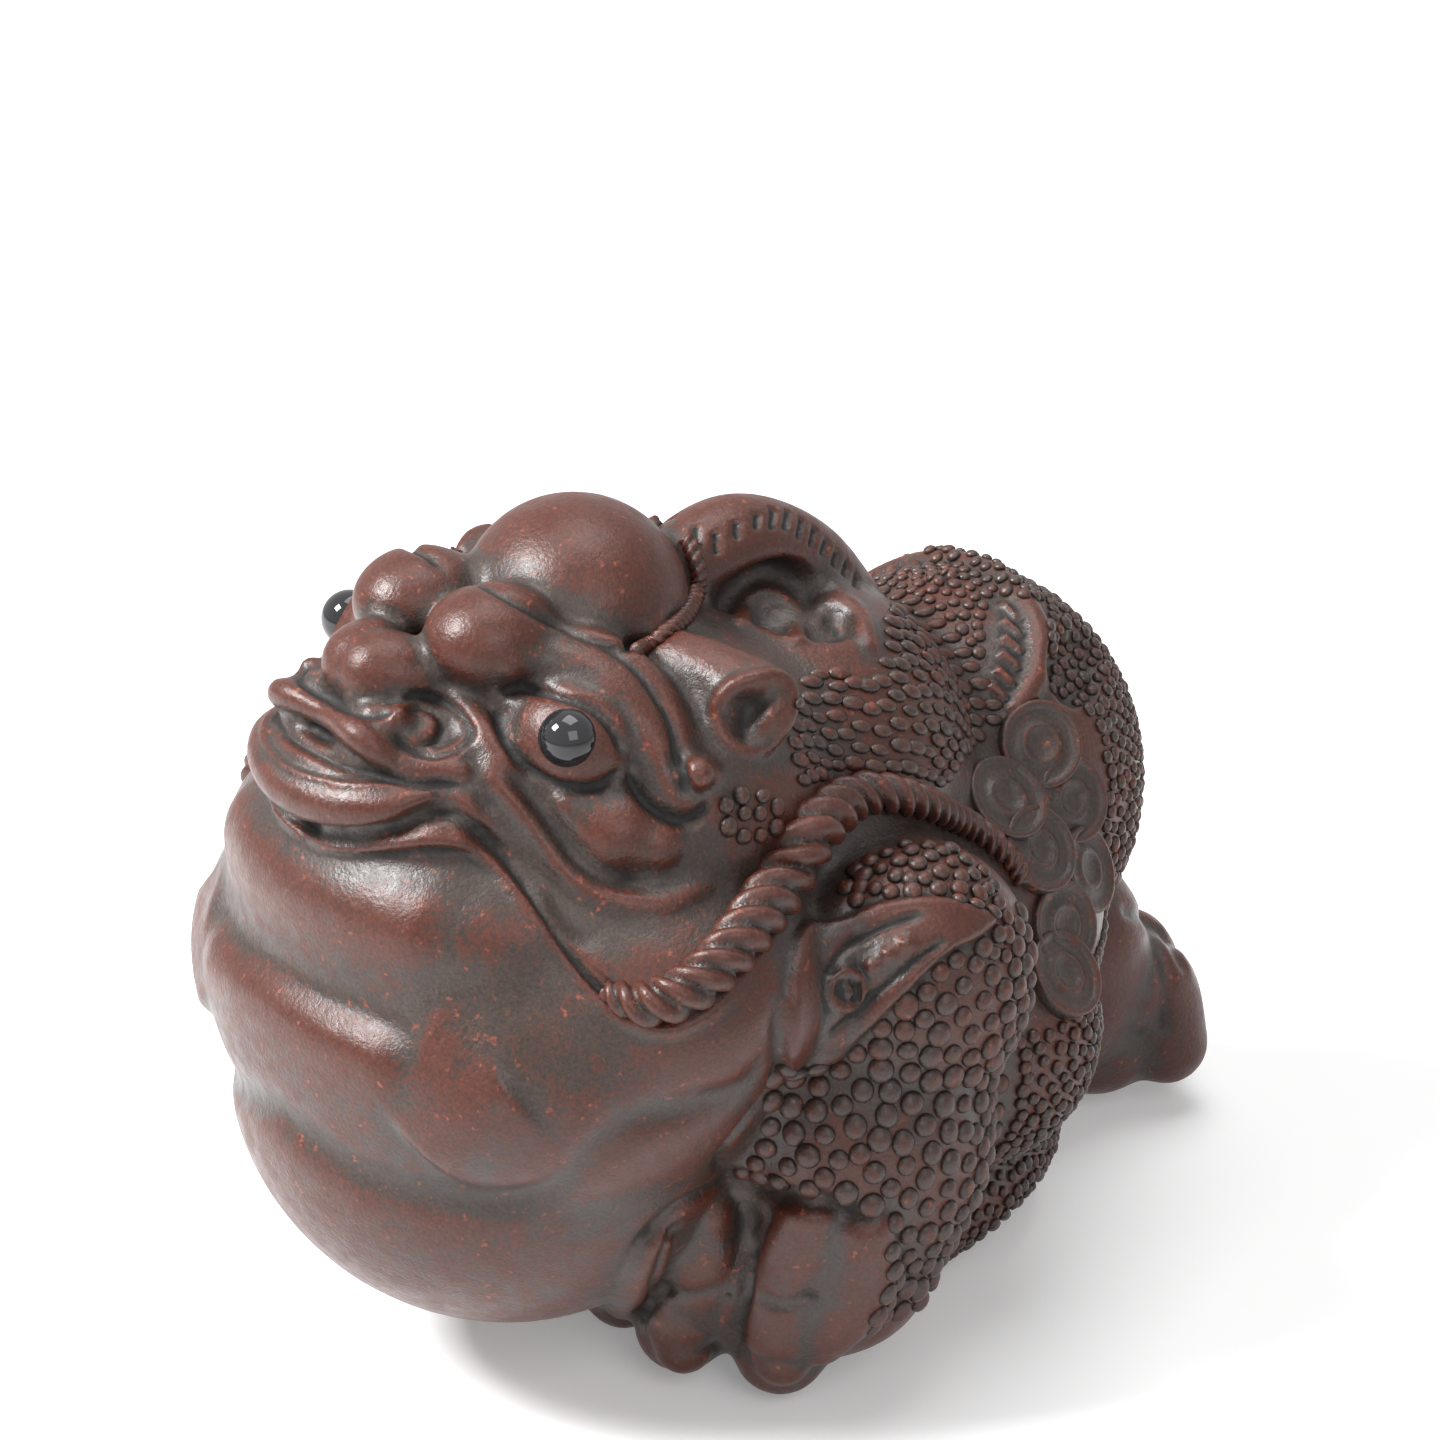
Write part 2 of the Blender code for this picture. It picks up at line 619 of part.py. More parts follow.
def coin(sight, pixel, order):
    """A coin tipped so that its edge nearest the head stands out."""
    place, outward = sight.spot(pixel)
    up = (outward + Vector(COIN_TIP) * (0.12 + 0.02 * (order % 3))).normalized()
    across = up.cross(Vector((0, 1, 0))).normalized()
    axes = np.array([across, up.cross(across), up])
    angle = np.linspace(0, 2 * np.pi, COIN_SIDES, endpoint=False)
    rings = [
        np.stack([radius * np.cos(angle), radius * np.sin(angle), np.full(COIN_SIDES, height)], axis=1)
        for radius, height in COIN_PROFILE
    ]
    return tube_of("coin", np.array(rings) @ axes + np.array(place + outward * COIN_LIFT))


def on_arm(places, outward):
    x, y, z = places.T
    pixels = pixels_of(places)
    bare = np.zeros(len(places), bool)
    for outline in (LEAF_OUTLINE, FOOT_OUTLINE, SHOULDER_OUTLINE):
        bare |= inside_outline(pixels, np.array(outline)) > -8
    return (x > 22) & (y > -26) & (y < 1) & (z > 12) & (z < 48) & (outward[:, 0] > 0.2) & ~bare


def arm_pellets(clay, sight):
    """Pellets pressed in rows into the upper arm, a few of the many."""
    skin, outward = skin_of(clay)
    places = skin[on_arm(skin, outward)]
    places = places[np.lexsort(np.round(places, 1).T)]
    chosen = []
    for place in places:
        if all(np.linalg.norm(place - other) > PELLET_PITCH for other in chosen):
            chosen.append(place)
    pellets = []
    for place in chosen:
        spot, normal = sight.tree.find_nearest(Vector(place))[:2]
        pellets.append(lump(tuple(spot + normal * PELLET_LIFT), [PELLET_RADIUS] * 3, rings=2))
    return pellets


def mirrored(piece):
    mesh = piece.data.copy()
    mesh.transform(Matrix.Diagonal((-1, 1, 1, 1)))
    mesh.flip_normals()
    return keep(mesh, piece.name)


def press_on(clay, pieces):
    """Presses crisp pieces into the clay, both sides of the toad at once."""
    return knead("toad_body", [clay, *pieces, *[mirrored(piece) for piece in pieces]], CRISP_GRAIN, 0)


def cut_flat(clay):
    """Cuts the clay flat where it stands."""
    mesh = bmesh.new()
    mesh.from_mesh(clay.data)
    everything = mesh.verts[:] + mesh.edges[:] + mesh.faces[:]
    cut = bmesh.ops.bisect_plane(
        mesh, geom=everything, plane_co=(0, 0, 0), plane_no=(0, 0, -1), clear_outer=True
    )
    rim = [edge for edge in cut["geom_cut"] if isinstance(edge, bmesh.types.BMEdge)]
    bmesh.ops.triangle_fill(mesh, edges=rim, use_beauty=True, normal=(0, 0, -1))
    mesh.to_mesh(clay.data)
    mesh.free()


def cut_out(clay, cutters):
    """Cuts the eye sockets, the mouth slit and the vent."""
    cutter = joined("cutter", cutters)
    cutter.hide_render = True
    cutter.display_type = "WIRE"
    cut = clay.modifiers.new("cut out", "BOOLEAN")
    cut.operation = "DIFFERENCE"
    cut.solver = "EXACT"
    cut.use_self = True
    cut.object = cutter
    settle(clay)
    bpy.data.objects.remove(cutter)


def vent():
    """The hole under the belly that lets air out in the kiln."""
    mesh = bpy.data.meshes.new("vent")
    bore = bmesh.new()
    bmesh.ops.create_cone(
        bore, cap_ends=True, segments=24, radius1=VENT_RADIUS, radius2=VENT_RADIUS,
        depth=2 * VENT_DEPTH, matrix=Matrix.Translation((*VENT_PLACE, 0)),
    )
    bore.to_mesh(mesh)
    bore.free()
    return keep(mesh, "vent")


def eye(name, place, radius):
    """A bead of glass, or the socket that it sits in."""
    bead = lump(place, (radius, radius, radius), rings=3)
    bead.name = name
    return bead


def stand(pieces):
    """Sets the middle of the whole toad's box over the origin, in metres."""
    corners = [corner.co for piece in pieces for corner in piece.data.vertices]
    middle = (min(p.y for p in corners) + max(p.y for p in corners)) / 2
    for piece in pieces:
        piece.data.transform(Matrix.Diagonal((MM, MM, MM, 1)) @ Matrix.Translation((0, -middle, 0)))


def finish(piece, name, colour, roughness):
    """Smooth shading and a plain material."""
    for polygon in piece.data.polygons:
        polygon.use_smooth = True
    material = bpy.data.materials.get(name) or bpy.data.materials.new(name)
    material.use_nodes = True
    shader = material.node_tree.nodes["Principled BSDF"]
    shader.inputs["Base Color"].default_value = colour
    shader.inputs["Roughness"].default_value = roughness
    shader.inputs["Metallic"].default_value = 0
    material.diffuse_color = colour
    piece.data.materials.clear()
    piece.data.materials.append(material)


for leftover in list(bpy.data.objects):
    bpy.data.objects.remove(leftover)

toad_body = lay_on_features(lay_on_forms(build_masses()))
carved = Sight(toad_body)
draw_folds(toad_body, carved)
crisp = [twisted(carved.seated(CORD_LINE, 0.35))]
crisp += [coin(carved, pixel, order) for order, pixel in enumerate(COINS)]
crisp += arm_pellets(toad_body, carved)
toad_body = thin_out(press_on(toad_body, crisp), CLAY_TRIANGLES)
cut_flat(toad_body)
socket = EYE_RADIUS + EYE_GAP
sockets = [eye("socket", place, socket) for place in (EYE_PLACE, flipped(EYE_PLACE))]
cut_out(toad_body, [*sockets, lump(*SLIT, rings=3), vent()])
eye_left = eye("eye_left", EYE_PLACE, EYE_RADIUS)
eye_right = eye("eye_right", flipped(EYE_PLACE), EYE_RADIUS)
stand([toad_body, eye_left, eye_right])
finish(toad_body, "fired clay", CLAY_COLOUR, CLAY_ROUGHNESS)
finish(eye_left, "black glass", EYE_COLOUR, EYE_ROUGHNESS)
finish(eye_right, "black glass", EYE_COLOUR, EYE_ROUGHNESS)
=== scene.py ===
"""The clay money toad: carved skin, pellets, cord, coins and eyes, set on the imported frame.

Lengths are in millimetres in the potter's frame, where the toad faces -Y, until each piece is
made; place_in_frame then scales it to metres and shifts it to where the frame holds the toad.
Lines of the carving are named lists of photograph pixels, cast along the camera's rays onto the clay.
"""

import random

import bmesh
import bpy
import numpy as np
from mathutils import Matrix, Vector
from mathutils.bvhtree import BVHTree


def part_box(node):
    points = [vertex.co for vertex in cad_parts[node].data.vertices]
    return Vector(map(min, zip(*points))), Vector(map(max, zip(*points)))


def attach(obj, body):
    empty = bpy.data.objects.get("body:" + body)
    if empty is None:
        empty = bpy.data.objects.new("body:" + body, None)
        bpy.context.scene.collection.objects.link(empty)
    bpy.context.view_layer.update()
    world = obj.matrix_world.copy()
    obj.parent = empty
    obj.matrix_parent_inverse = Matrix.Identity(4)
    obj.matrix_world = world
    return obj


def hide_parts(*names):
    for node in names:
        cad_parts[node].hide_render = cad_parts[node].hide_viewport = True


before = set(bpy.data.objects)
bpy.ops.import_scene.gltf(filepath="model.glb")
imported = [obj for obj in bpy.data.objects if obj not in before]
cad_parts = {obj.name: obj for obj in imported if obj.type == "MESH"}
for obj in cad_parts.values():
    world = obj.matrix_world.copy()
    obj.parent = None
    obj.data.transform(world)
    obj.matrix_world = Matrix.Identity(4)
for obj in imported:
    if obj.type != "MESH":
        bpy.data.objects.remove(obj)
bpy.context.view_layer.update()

MM = 0.001
ROOT = "root"

# The photograph's camera, in millimetres and pixels
CAMERA_PLACE = Vector((337.7, -274.7, 255.9))
CAMERA_AIM = Vector((-5.6, -4.0, 56.7))
LENS = 120
SENSOR = 36
PHOTO_SIDE = 1440

# Grain of the carving
MASS_GRAIN = 1.5
MASS_RUBS = 5
FORM_GRAIN = 0.8
FORM_RUBS = 3
SKIN_GRAIN = 0.42
SKIN_RUBS = 2
SKIN_TRIANGLES = 190000

# Masses on the middle line: centre and radii
MIDDLE_MASSES = {
    "throat": ((0, -36, 41.5), (33.5, 26.5, 22)),
    "pouch": ((0, -36, 32.5), (28, 26, 26.5)),
    "chin": ((0, -44, 55), (24.5, 16, 11)),
    "jaw": ((0, -32, 47), (36, 24, 17)),
    "skull": ((0, -26, 60), (27, 25, 18)),
    "muzzle": ((0, -43, 66), (17, 14, 9)),
    "neck": ((0, -6, 56), (24, 22, 20)),
    "body": ((0, 6, 36), (28, 28, 26)),
    "rump": ((0, 21, 45), (20, 20.7, 22.7)),
    "belly": ((0, -2, 9.5), (25, 34, 11)),
    "rear leg": ((0, 37.5, 19), (10.5, 10, 13)),
    "rear foot": ((0, 43.5, 10.5), (8.5, 9, 9.6)),
}

# Masses of each side
SIDE_MASSES = {
    "haunch": ((19.5, 7, 29), (13.5, 14, 14)),
    "shoulder": ((29, -8, 43), (10, 13, 14)),
    "forearm": ((29, -13, 27), (10, 13, 16)),
    "wrist": ((25.5, -14.5, 15), (10.5, 11, 12)),
    "forefoot": ((20, -17.5, 13), (12.5, 11, 12)),
}

# Forms laid on the masses
MIDDLE_LUMPS = {
    "pearl": ((0, -26, 77.4), (11, 10.8, 10.3)),
    "nose": ((0, -48.4, 73.4), (4.8, 5.2, 4.6)),
}
SIDE_LUMPS = {
    "eyeball": ((14.3, -37, 71.3), (6.6, 6.3, 6)),
    "forehead knob": ((5.7, -40, 79.4), (5.8, 6.6, 5)),
    "nostril lobe": ((4.8, -52.4, 72.6), (3.6, 3.4, 3.2)),
    "brow curl": ((23.4, -29.2, 68.4), (2.1, 2.1, 2.1)),
}
MIDDLE_ROLLS = {
    "crest": ((0, -15, 77, 4.5), (0, -7, 78.4, 5), (0, 1.5, 74.4, 4.6), (0, 8, 67, 4)),
    "upper lip": (
        (-13.5, -49.6, 65.6, 2.2),
        (-8.2, -53.2, 66.4, 3.2),
        (0, -55.2, 66.2, 3.8),
        (8.2, -53.2, 66.4, 3.2),
        (13.5, -49.6, 65.6, 2.2),
    ),
    "lower lip": (
        (-7, -52.4, 59.6, 2.6),
        (0, -53.6, 59.2, 3),
        (7, -52.4, 59.6, 2.6),
    ),
    "middle rear toe": ((0, 42, 16.5, 5.4), (0, 48, 16, 5.3), (0, 50.4, 8, 5)),
}
SIDE_ROLLS = {
    "brow": (
        (9.4, -41, 75.2, 2),
        (9.3, -37, 77, 3),
        (11.6, -33, 76.8, 3.4),
        (15.4, -31, 74.8, 3.4),
        (19, -30.6, 71.6, 3),
        (21.6, -31.4, 68.2, 2.2),
        (23.4, -31, 65.8, 1.6),
        (25, -29, 65.6, 1.2),
    ),
    "ear": ((12, -24, 75, 3), (16, -22.4, 74, 3.7), (19.8, -20.8, 72.4, 4.4)),
    "inner toe": ((15, -15, 17, 5.5), (9, -20, 14.5, 5), (6.9, -24, 9.5, 4.7), (6.8, -26, 5, 4.3)),
    "middle toe": (
        (20, -14, 18, 6.5),
        (17, -21, 15.5, 5.6),
        (16.2, -24.5, 9.5, 5.2),
        (16.2, -26, 5.2, 4.8),
    ),
    "outer toe": ((26, -12, 15, 6.5), (25.5, -18, 12, 6), (25.5, -20, 7, 5.4), (25.5, -21, 5.2, 4.8)),
    "side rear toe": ((4, 41, 15.5, 5.4), (5.4, 46.2, 15.4, 5.1), (5.8, 48.6, 7.6, 4.8)),
}
EYE_PLACE = (17.6, -39.9, 73.3)
EYE_RADIUS = 2.8

# Rolls laid along photograph pixels: x, y and radius in millimetres
NOSE_TAIL = (
    (376, 665, 3.9), (402, 669, 4), (432, 683, 3.2), (462, 708, 2.4), (486, 740, 2), (508, 772, 1.7),
)
BROW_TAIL = (
    (514, 670, 1.8), (546, 661, 2.5), (580, 667, 2.9), (612, 685, 2.8), (636, 714, 2.5), (652, 746, 2.3),
    (665, 776, 2), (684, 801, 1.7), (706, 798, 1.2),
)
BROW_CURL = ((695, 772, 1.5), (699, 774, 1.6))
NOSTRIL_BALL = ((396, 717, 1.2), (414, 716, 1.5), (429, 725, 1.5), (424, 739, 1.3), (409, 742, 1))
NOSTRIL_WING = ((404, 754, 0.8), (430, 762, 0.9), (458, 754, 0.9), (474, 732, 0.7))
LIP_FLAP = (
    (276, 690, 1.2), (300, 704, 1.3), (330, 712, 1.4), (362, 738, 1.4), (392, 760, 1.2), (430, 770, 1.1),
    (462, 772, 1),
)
LIP_FILL = ((262, 730, 1.6), (290, 748, 2), (326, 764, 2.2), (370, 776, 2), (420, 782, 1.4))
LIP_BAND = (
    (256, 762, 1.8), (284, 786, 2.2), (318, 800, 2.3), (356, 806, 2.2), (396, 804, 1.8), (428, 796, 1.2),
)
CHEEK_FOLD = (
    (490, 756, 1.8), (508, 792, 2.3), (532, 830, 2.5), (560, 864, 2.4), (594, 888, 2.2), (632, 904, 2),
    (672, 902, 1.6), (704, 886, 1),
)
CHEEK_BULGE = ((570, 806, 3), (600, 824, 4.2), (632, 838, 4.2), (660, 846, 3))
TOES = (
    ((656, 1244, 2.2), (640, 1276, 3), (622, 1306, 2.2)),
    ((714, 1216, 3), (704, 1252, 4.4), (694, 1288, 3.6), (682, 1325, 4.1), (684, 1350, 3)),
    ((806, 1216, 3.2), (794, 1252, 4.6), (786, 1292, 3.9), (780, 1338, 4.2), (782, 1360, 3)),
    ((866, 1236, 3.4), (858, 1276, 4.6), (840, 1316, 4.2), (820, 1346, 3)),
)

# Strokes along photograph pixels
STROKE_TAPER = 0.14
MOUTH_LINE = (
    (304, 828), (340, 832), (388, 832), (420, 818), (444, 811), (468, 822), (496, 844), (520, 874),
    (540, 910), (564, 950), (592, 986), (616, 1006), (652, 1019), (676, 1016),
)
LOWER_RIM_LINE = (
    (306, 838), (332, 846), (360, 848), (420, 840), (456, 841), (478, 852), (500, 874), (528, 910),
    (556, 950), (584, 986), (612, 1012), (648, 1028), (680, 1028), (716, 1008), (748, 972), (770, 936),
)
UPPER_RIM_LINE = (
    (444, 802), (474, 812), (504, 840), (528, 876), (548, 912), (568, 942), (592, 970), (612, 982),
)
UPPER_RIM_GROOVE = ((470, 790), (500, 812), (526, 850), (552, 892), (568, 924), (600, 948))
CHEEK_FOLD_GROOVE = ((500, 762), (530, 796), (552, 824), (580, 862), (610, 880), (650, 882))
CHIN_CREASE_LINE = ((216, 908), (250, 945), (290, 978), (330, 1000), (380, 1022), (430, 1046))
POUCH_CREASE_LINE = (
    (238, 1076), (290, 1125), (350, 1168), (420, 1195), (500, 1203), (556, 1188), (596, 1150), (636, 1122),
    (700, 1106), (745, 1086), (772, 1040), (778, 990),
)
CHIN_LOBE_LINE = ((240, 870), (310, 890), (380, 912), (450, 940))
THROAT_LOBE_LINE = ((236, 960), (290, 1000), (345, 1035), (410, 1065))
POUCH_LOBE_LINE = ((420, 1155), (470, 1120), (520, 1090))
NOSTRIL_GROOVE = (
    (392, 702), (416, 695), (440, 700), (460, 714), (470, 732), (460, 746), (432, 754), (404, 744),
    (394, 726),
)
NOSTRIL_CURL = ((404, 714), (420, 708), (436, 714), (442, 728), (434, 742), (416, 746))
BULB_GROOVE = ((326, 690), (342, 706), (370, 714), (398, 708))
FLAP_GROOVE = ((270, 716), (290, 734), (320, 754), (352, 768), (396, 780), (430, 784), (470, 784))
BAND_EDGE = ((250, 742), (276, 762), (312, 778), (352, 786), (400, 786), (430, 786))
UPPER_LID_LINE = ((494, 698), (522, 688), (560, 694), (594, 708), (616, 732), (626, 758))
LOWER_LID_LINE = ((492, 708), (508, 744), (532, 772), (564, 787), (600, 786), (622, 768))
BROW_UNDER_LINE = ((626, 770), (642, 796), (664, 814), (688, 820), (714, 802))
BROW_OUTER_LINE = ((600, 640), (634, 664), (660, 698), (676, 734), (680, 770), (688, 800))
PEARL_EDGE_LINE = ((476, 578), (508, 596), (544, 616), (588, 636), (628, 646), (664, 632), (686, 600))
ARM_EDGE_LINE = (
    (776, 990), (778, 1072), (748, 1120), (720, 1160), (740, 1182), (790, 1200), (840, 1206),
)
FOOT_EDGE_LINE = (
    (628, 1262), (660, 1222), (700, 1194), (744, 1180), (790, 1196), (840, 1206), (884, 1226),
)
TOE_SPLIT_LINE = ((772, 1206), (756, 1244), (746, 1290), (736, 1326), (732, 1362))
INNER_TOE_LINE = ((676, 1222), (662, 1262), (650, 1300), (636, 1330))
KNUCKLE_LINES = (
    ((660, 1284), (690, 1296), (722, 1288)),
    ((756, 1296), (786, 1306), (818, 1292)),
)
REAR_TOE_LINES = (
    ((1150, 930), (1166, 980), (1162, 1040)),
    ((1120, 908), (1160, 930), (1190, 975)),
)

# Twisted cord from the corner of the mouth over the shoulder: x, y and radius
CORD_LINE = (
    (607, 987, 1), (628, 998, 1.9), (655, 1003, 2.4), (688, 990, 2.5), (716, 966, 2.6), (742, 936, 2.8),
    (764, 902, 2.9), (780, 866, 3), (802, 830, 2.9), (832, 804, 2.6), (864, 792, 2.2), (900, 796, 1.9),
    (940, 812, 1.6), (980, 834, 1.4), (1010, 862, 1.2), (1020, 884, 1),
)
COLLAR_LINE = (
    (686, 540, 0.9), (694, 560, 0.95), (696, 586, 0.95), (684, 616, 0.95), (660, 640, 0.9),
    (636, 652, 0.7),
)
CORD_LIFT = 0.35
COLLAR_LIFT = 0.3
STRANDS = 3
STRAND_LEAD = 3.2
STRAND_DEPTH = 0.5
STRAND_ROUNDNESS = 0.7
CORD_SIDES = 30
CORD_STEP = 0.22

# Leaf on the shoulder: its outline, ring, bumps and veins, and the fullness under its lip
LEAF_OUTLINE = (
    (782, 1072), (783, 1012), (786, 962), (800, 922), (830, 922), (880, 902), (940, 896), (996, 916),
    (976, 940), (944, 956), (920, 980), (892, 1008), (864, 1036), (836, 1062),
)
LEAF_RING = (846, 990)
LEAF_RING_RADIUS = 18
LEAF_BUMPS = (
    ((844, 991), (848, 989)), ((871, 966), (873, 965)), ((886, 955), (888, 954)), ((904, 945), (906, 944)),
)
LEAF_VEINS = (
    ((828, 978), (836, 960), (854, 942), (884, 926), (930, 912)),
    ((826, 1040), (850, 1018), (880, 990), (914, 962), (950, 938)),
)
LEAF_FILL = ((838, 914, 3), (832, 945, 4), (829, 985, 4.2), (826, 1025, 4), (818, 1055, 3))

# Ear opening
EAR_RIM = (
    (722, 738, 0.8), (715, 714, 0.8), (728, 690, 0.9), (752, 679, 0.9), (778, 677, 0.9), (790, 692, 0.9),
    (787, 718, 0.9), (768, 743, 0.9), (742, 752, 0.8), (722, 738, 0.8),
)
EAR_HOLE = (
    (729, 726), (727, 706), (742, 692), (766, 688), (780, 690), (774, 716), (758, 736), (741, 741),
)

# Crest: its hollow, the curls in it and the cuts on its rim
CREST_HOLLOW = (
    (706, 606), (722, 584), (750, 566), (784, 556), (814, 566), (842, 588), (866, 614), (850, 640),
    (800, 640), (750, 622),
)
CREST_CURLS = (
    ((742, 622, 0.9), (746, 604, 1.2), (762, 596, 1.5), (780, 602, 1.5), (794, 618, 1.3), (798, 640, 0.9)),
    ((816, 626, 0.9), (822, 606, 1.2), (842, 606, 1.5), (860, 622, 1.4), (870, 646, 1)),
    ((770, 612, 1.1), (780, 618, 1)),
    ((842, 624, 1.1), (850, 632, 1)),
)
CREST_CUTS = (
    ((696, 524), (697, 550)), ((715, 530), (717, 556)), ((736, 520), (737, 540)), ((757, 512), (757, 530)),
    ((774, 508), (772, 530)), ((789, 510), (785, 532)), ((803, 517), (799, 540)), ((816, 527), (811, 548)),
    ((828, 539), (822, 557)), ((839, 551), (833, 567)), ((849, 562), (844, 577)), ((859, 574), (855, 588)),
)

# Rump: the ribbed band, the sunk panel behind it
RUMP_BAND = (
    (930, 566, 1), (966, 566, 1.3), (1000, 580, 1.5), (1026, 612, 1.7), (1038, 645, 1.7), (1034, 680, 1.5),
    (1016, 708, 1.1),
)
RUMP_RIBS = (
    ((1000, 604), (1020, 622)), ((1000, 620), (1022, 638)), ((1000, 636), (1022, 654)),
    ((998, 652), (1020, 670)), ((994, 668), (1014, 686)), ((988, 684), (1006, 700)),
    ((902, 572), (922, 588)), ((916, 566), (938, 582)), ((932, 562), (952, 578)), ((890, 582), (906, 596)),
)
RUMP_PANEL = (
    (1048, 640), (1066, 624), (1090, 632), (1106, 660), (1104, 698), (1080, 712), (1056, 700), (1046, 670),
)

# Coins along the flank: their middle pixels, and a profile of radius and height
COINS = (
    (1038, 745), (1004, 800), (1068, 800), (1036, 850), (1084, 870), (1060, 925), (1062, 975),
)
COIN_SIDES = 40
COIN_LIFT = 0.1
COIN_TIP = (0.2, -0.8, 0.5)
COIN_PROFILE = (
    (4.5, -1.5), (4.5, 0.7), (4.35, 0.95), (4, 0.98), (3.7, 0.65), (3.4, 0.55), (2.3, 0.55), (2.1, 0.8),
    (1.7, 0.8), (1.5, 0.5), (0.4, 0.45),
)

# Pellet fields, bounded by outlines on the photograph
PELLET_SEED = 7
PELLET_SIZES = (0.82, 1.1)
PELLET_LENGTHS = (0.9, 1.15)
PELLET_STRETCH = 1.7
PELLET_FLATNESS = 0.66
SPREAD_CLOSENESS = 0.86
SPREAD_ROUNDS = 4
SPREAD_BLOCK = 2000
SHOULDER_OUTLINE = (
    (838, 892), (856, 862), (900, 842), (950, 846), (990, 872), (1012, 920), (1008, 970), (985, 960),
    (996, 916), (940, 894), (880, 900), (850, 908),
)
TUFT_OUTLINE = ((716, 804), (736, 788), (770, 790), (788, 812), (776, 842), (740, 848), (718, 830))
BACK_FLOW = (0.25, 1, -0.35)
FOOT_OUTLINE = (
    (560, 1300), (628, 1256), (660, 1220), (740, 1180), (790, 1192), (850, 1204), (888, 1228), (880, 1290),
    (860, 1360), (800, 1420), (600, 1420),
)
BACK_OUTLINE = (
    (800, 700), (806, 664), (880, 674), (890, 610), (915, 590), (960, 610), (990, 690), (1010, 716),
    (970, 750), (945, 790), (900, 780), (840, 770), (790, 800), (720, 840), (715, 790), (780, 760),
)
RUMP_BARE = (
    (990, 596), (1046, 600), (1050, 690), (1096, 720), (1108, 780), (1100, 860), (1120, 900), (1100, 1020),
    (1000, 1020), (900, 900), (900, 780), (970, 740),
)

# Finish: colours, and the scales of the grain in the clay
CLAY_GREY = (0.033, 0.0215, 0.0175, 1)
CLAY_RED = (0.056, 0.0135, 0.007, 1)
CLAY_FLECK = (0.17, 0.045, 0.024, 1)
# Painted shade: a near-black laid into the crevices where shade falls
CREVICE_PAINTED_SHADE = (0.006, 0.0045, 0.004, 1)
EYE_GLASS = (0.012, 0.012, 0.014, 1)
CLOUD_SCALE = 70
MOTTLE_SCALE = 450
SPECK_SCALE = 1100
SAND_SCALE = 2600
SHEEN = 0.38
BUMP_HEIGHT = 0.0001
BUMP_STRENGTH = 0.9
# Colour attribute that drives both the worn red on ridges and the painted shade in crevices
WEAR_AND_SHADE = "wear_and_shade"
FINE_RUBS = 5
BROAD_RUBS = 60

# Studio: each lamp's way back, right and up from the toad's middle in metres, its side and power
HEART = (0, -5, 45)
LAMPS = {
    "key": ((0.3, -0.44, 0.38), 0.2, 9.5),
    "top": ((0.2, 0.05, 0.6), 0.4, 2.4),
    "fill": ((0.5, 0.16, 0.1), 0.3, 0.8),
}
WORLD_LIGHT = 0.24
FLOOR_TONE = (0.9, 0.9, 0.9, 1)
FLOOR_GLOW = 0.22
FLOOR_REACH = 3


# Clay tools


def keep(mesh, name):
    """Puts a mesh into the scene as an object."""
    piece = bpy.data.objects.new(name, mesh)
    bpy.context.scene.collection.objects.link(piece)
    return piece


def flipped(place):
    """A place, or a path of places, on the toad's other side."""
    if isinstance(place[0], (tuple, list, Vector, np.ndarray)):
        return tuple(flipped(point) for point in place)
    return (-place[0], *place[1:])


def lump(centre, radii, rings=4):
    """A ball of clay pressed to three radii."""
    mesh = bpy.data.meshes.new("lump")
    ball = bmesh.new()
    bmesh.ops.create_icosphere(ball, subdivisions=rings, radius=1)
    ball.transform(Matrix.Translation(Vector(centre)) @ Matrix.Diagonal((*radii, 1)))
    ball.to_mesh(mesh)
    ball.free()
    return keep(mesh, "lump")


def curved(points, steps=6):
    """A smooth curve through the points, whatever number of values each one has."""
    knots = [np.array(point, float) for point in (points[0], *points, points[-1])]
    path = []
    for a, b, c, d in zip(knots, knots[1:], knots[2:], knots[3:]):
        for t in np.arange(steps) / steps:
            bend = 2 * a - 5 * b + 4 * c - d
            path.append(b + 0.5 * ((c - a) * t + bend * t**2 + (3 * b - a - 3 * c + d) * t**3))
    path.append(knots[-1])
    return np.array(path)


def built(name, corners, faces):
    """A piece made of corners and faces."""
    mesh = bpy.data.meshes.new(name)
    mesh.from_pydata(corners.tolist(), [], faces)
    mesh.update()
    return keep(mesh, name)


def joined(name, pieces):
    """One object that holds the meshes of all the pieces."""
    together = bmesh.new()
    for piece in pieces:
        together.from_mesh(piece.data)
        bpy.data.objects.remove(piece)
    mesh = bpy.data.meshes.new(name)
    together.to_mesh(mesh)
    together.free()
    return keep(mesh, name)


def roll(path):
    """A round-ended roll of clay along a path of x, y, z and radius."""
    line = bpy.data.curves.new("roll", "CURVE")
    line.dimensions = "3D"
    line.bevel_depth = 1
    line.bevel_resolution = 6
    line.use_fill_caps = True
    spline = line.splines.new("POLY")
    spline.points.add(len(path) - 1)
    for point, (x, y, z, radius) in zip(spline.points, path):
        point.co = (x, y, z, 1)
        point.radius = radius
    guide = keep(line, "roll")
    body = keep(bpy.data.meshes.new_from_object(guide), "roll")
    bpy.data.objects.remove(guide)
    ends = [lump(tuple(path[i][:3]), [path[i][3]] * 3, rings=3) for i in (0, -1)]
    return joined("roll", [body, *ends])


def settle(clay):
    """Applies the modifiers of an object."""
    graph = bpy.context.evaluated_depsgraph_get()
    mesh = bpy.data.meshes.new_from_object(clay.evaluated_get(graph))
    clay.modifiers.clear()
    clay.data = mesh
    return clay


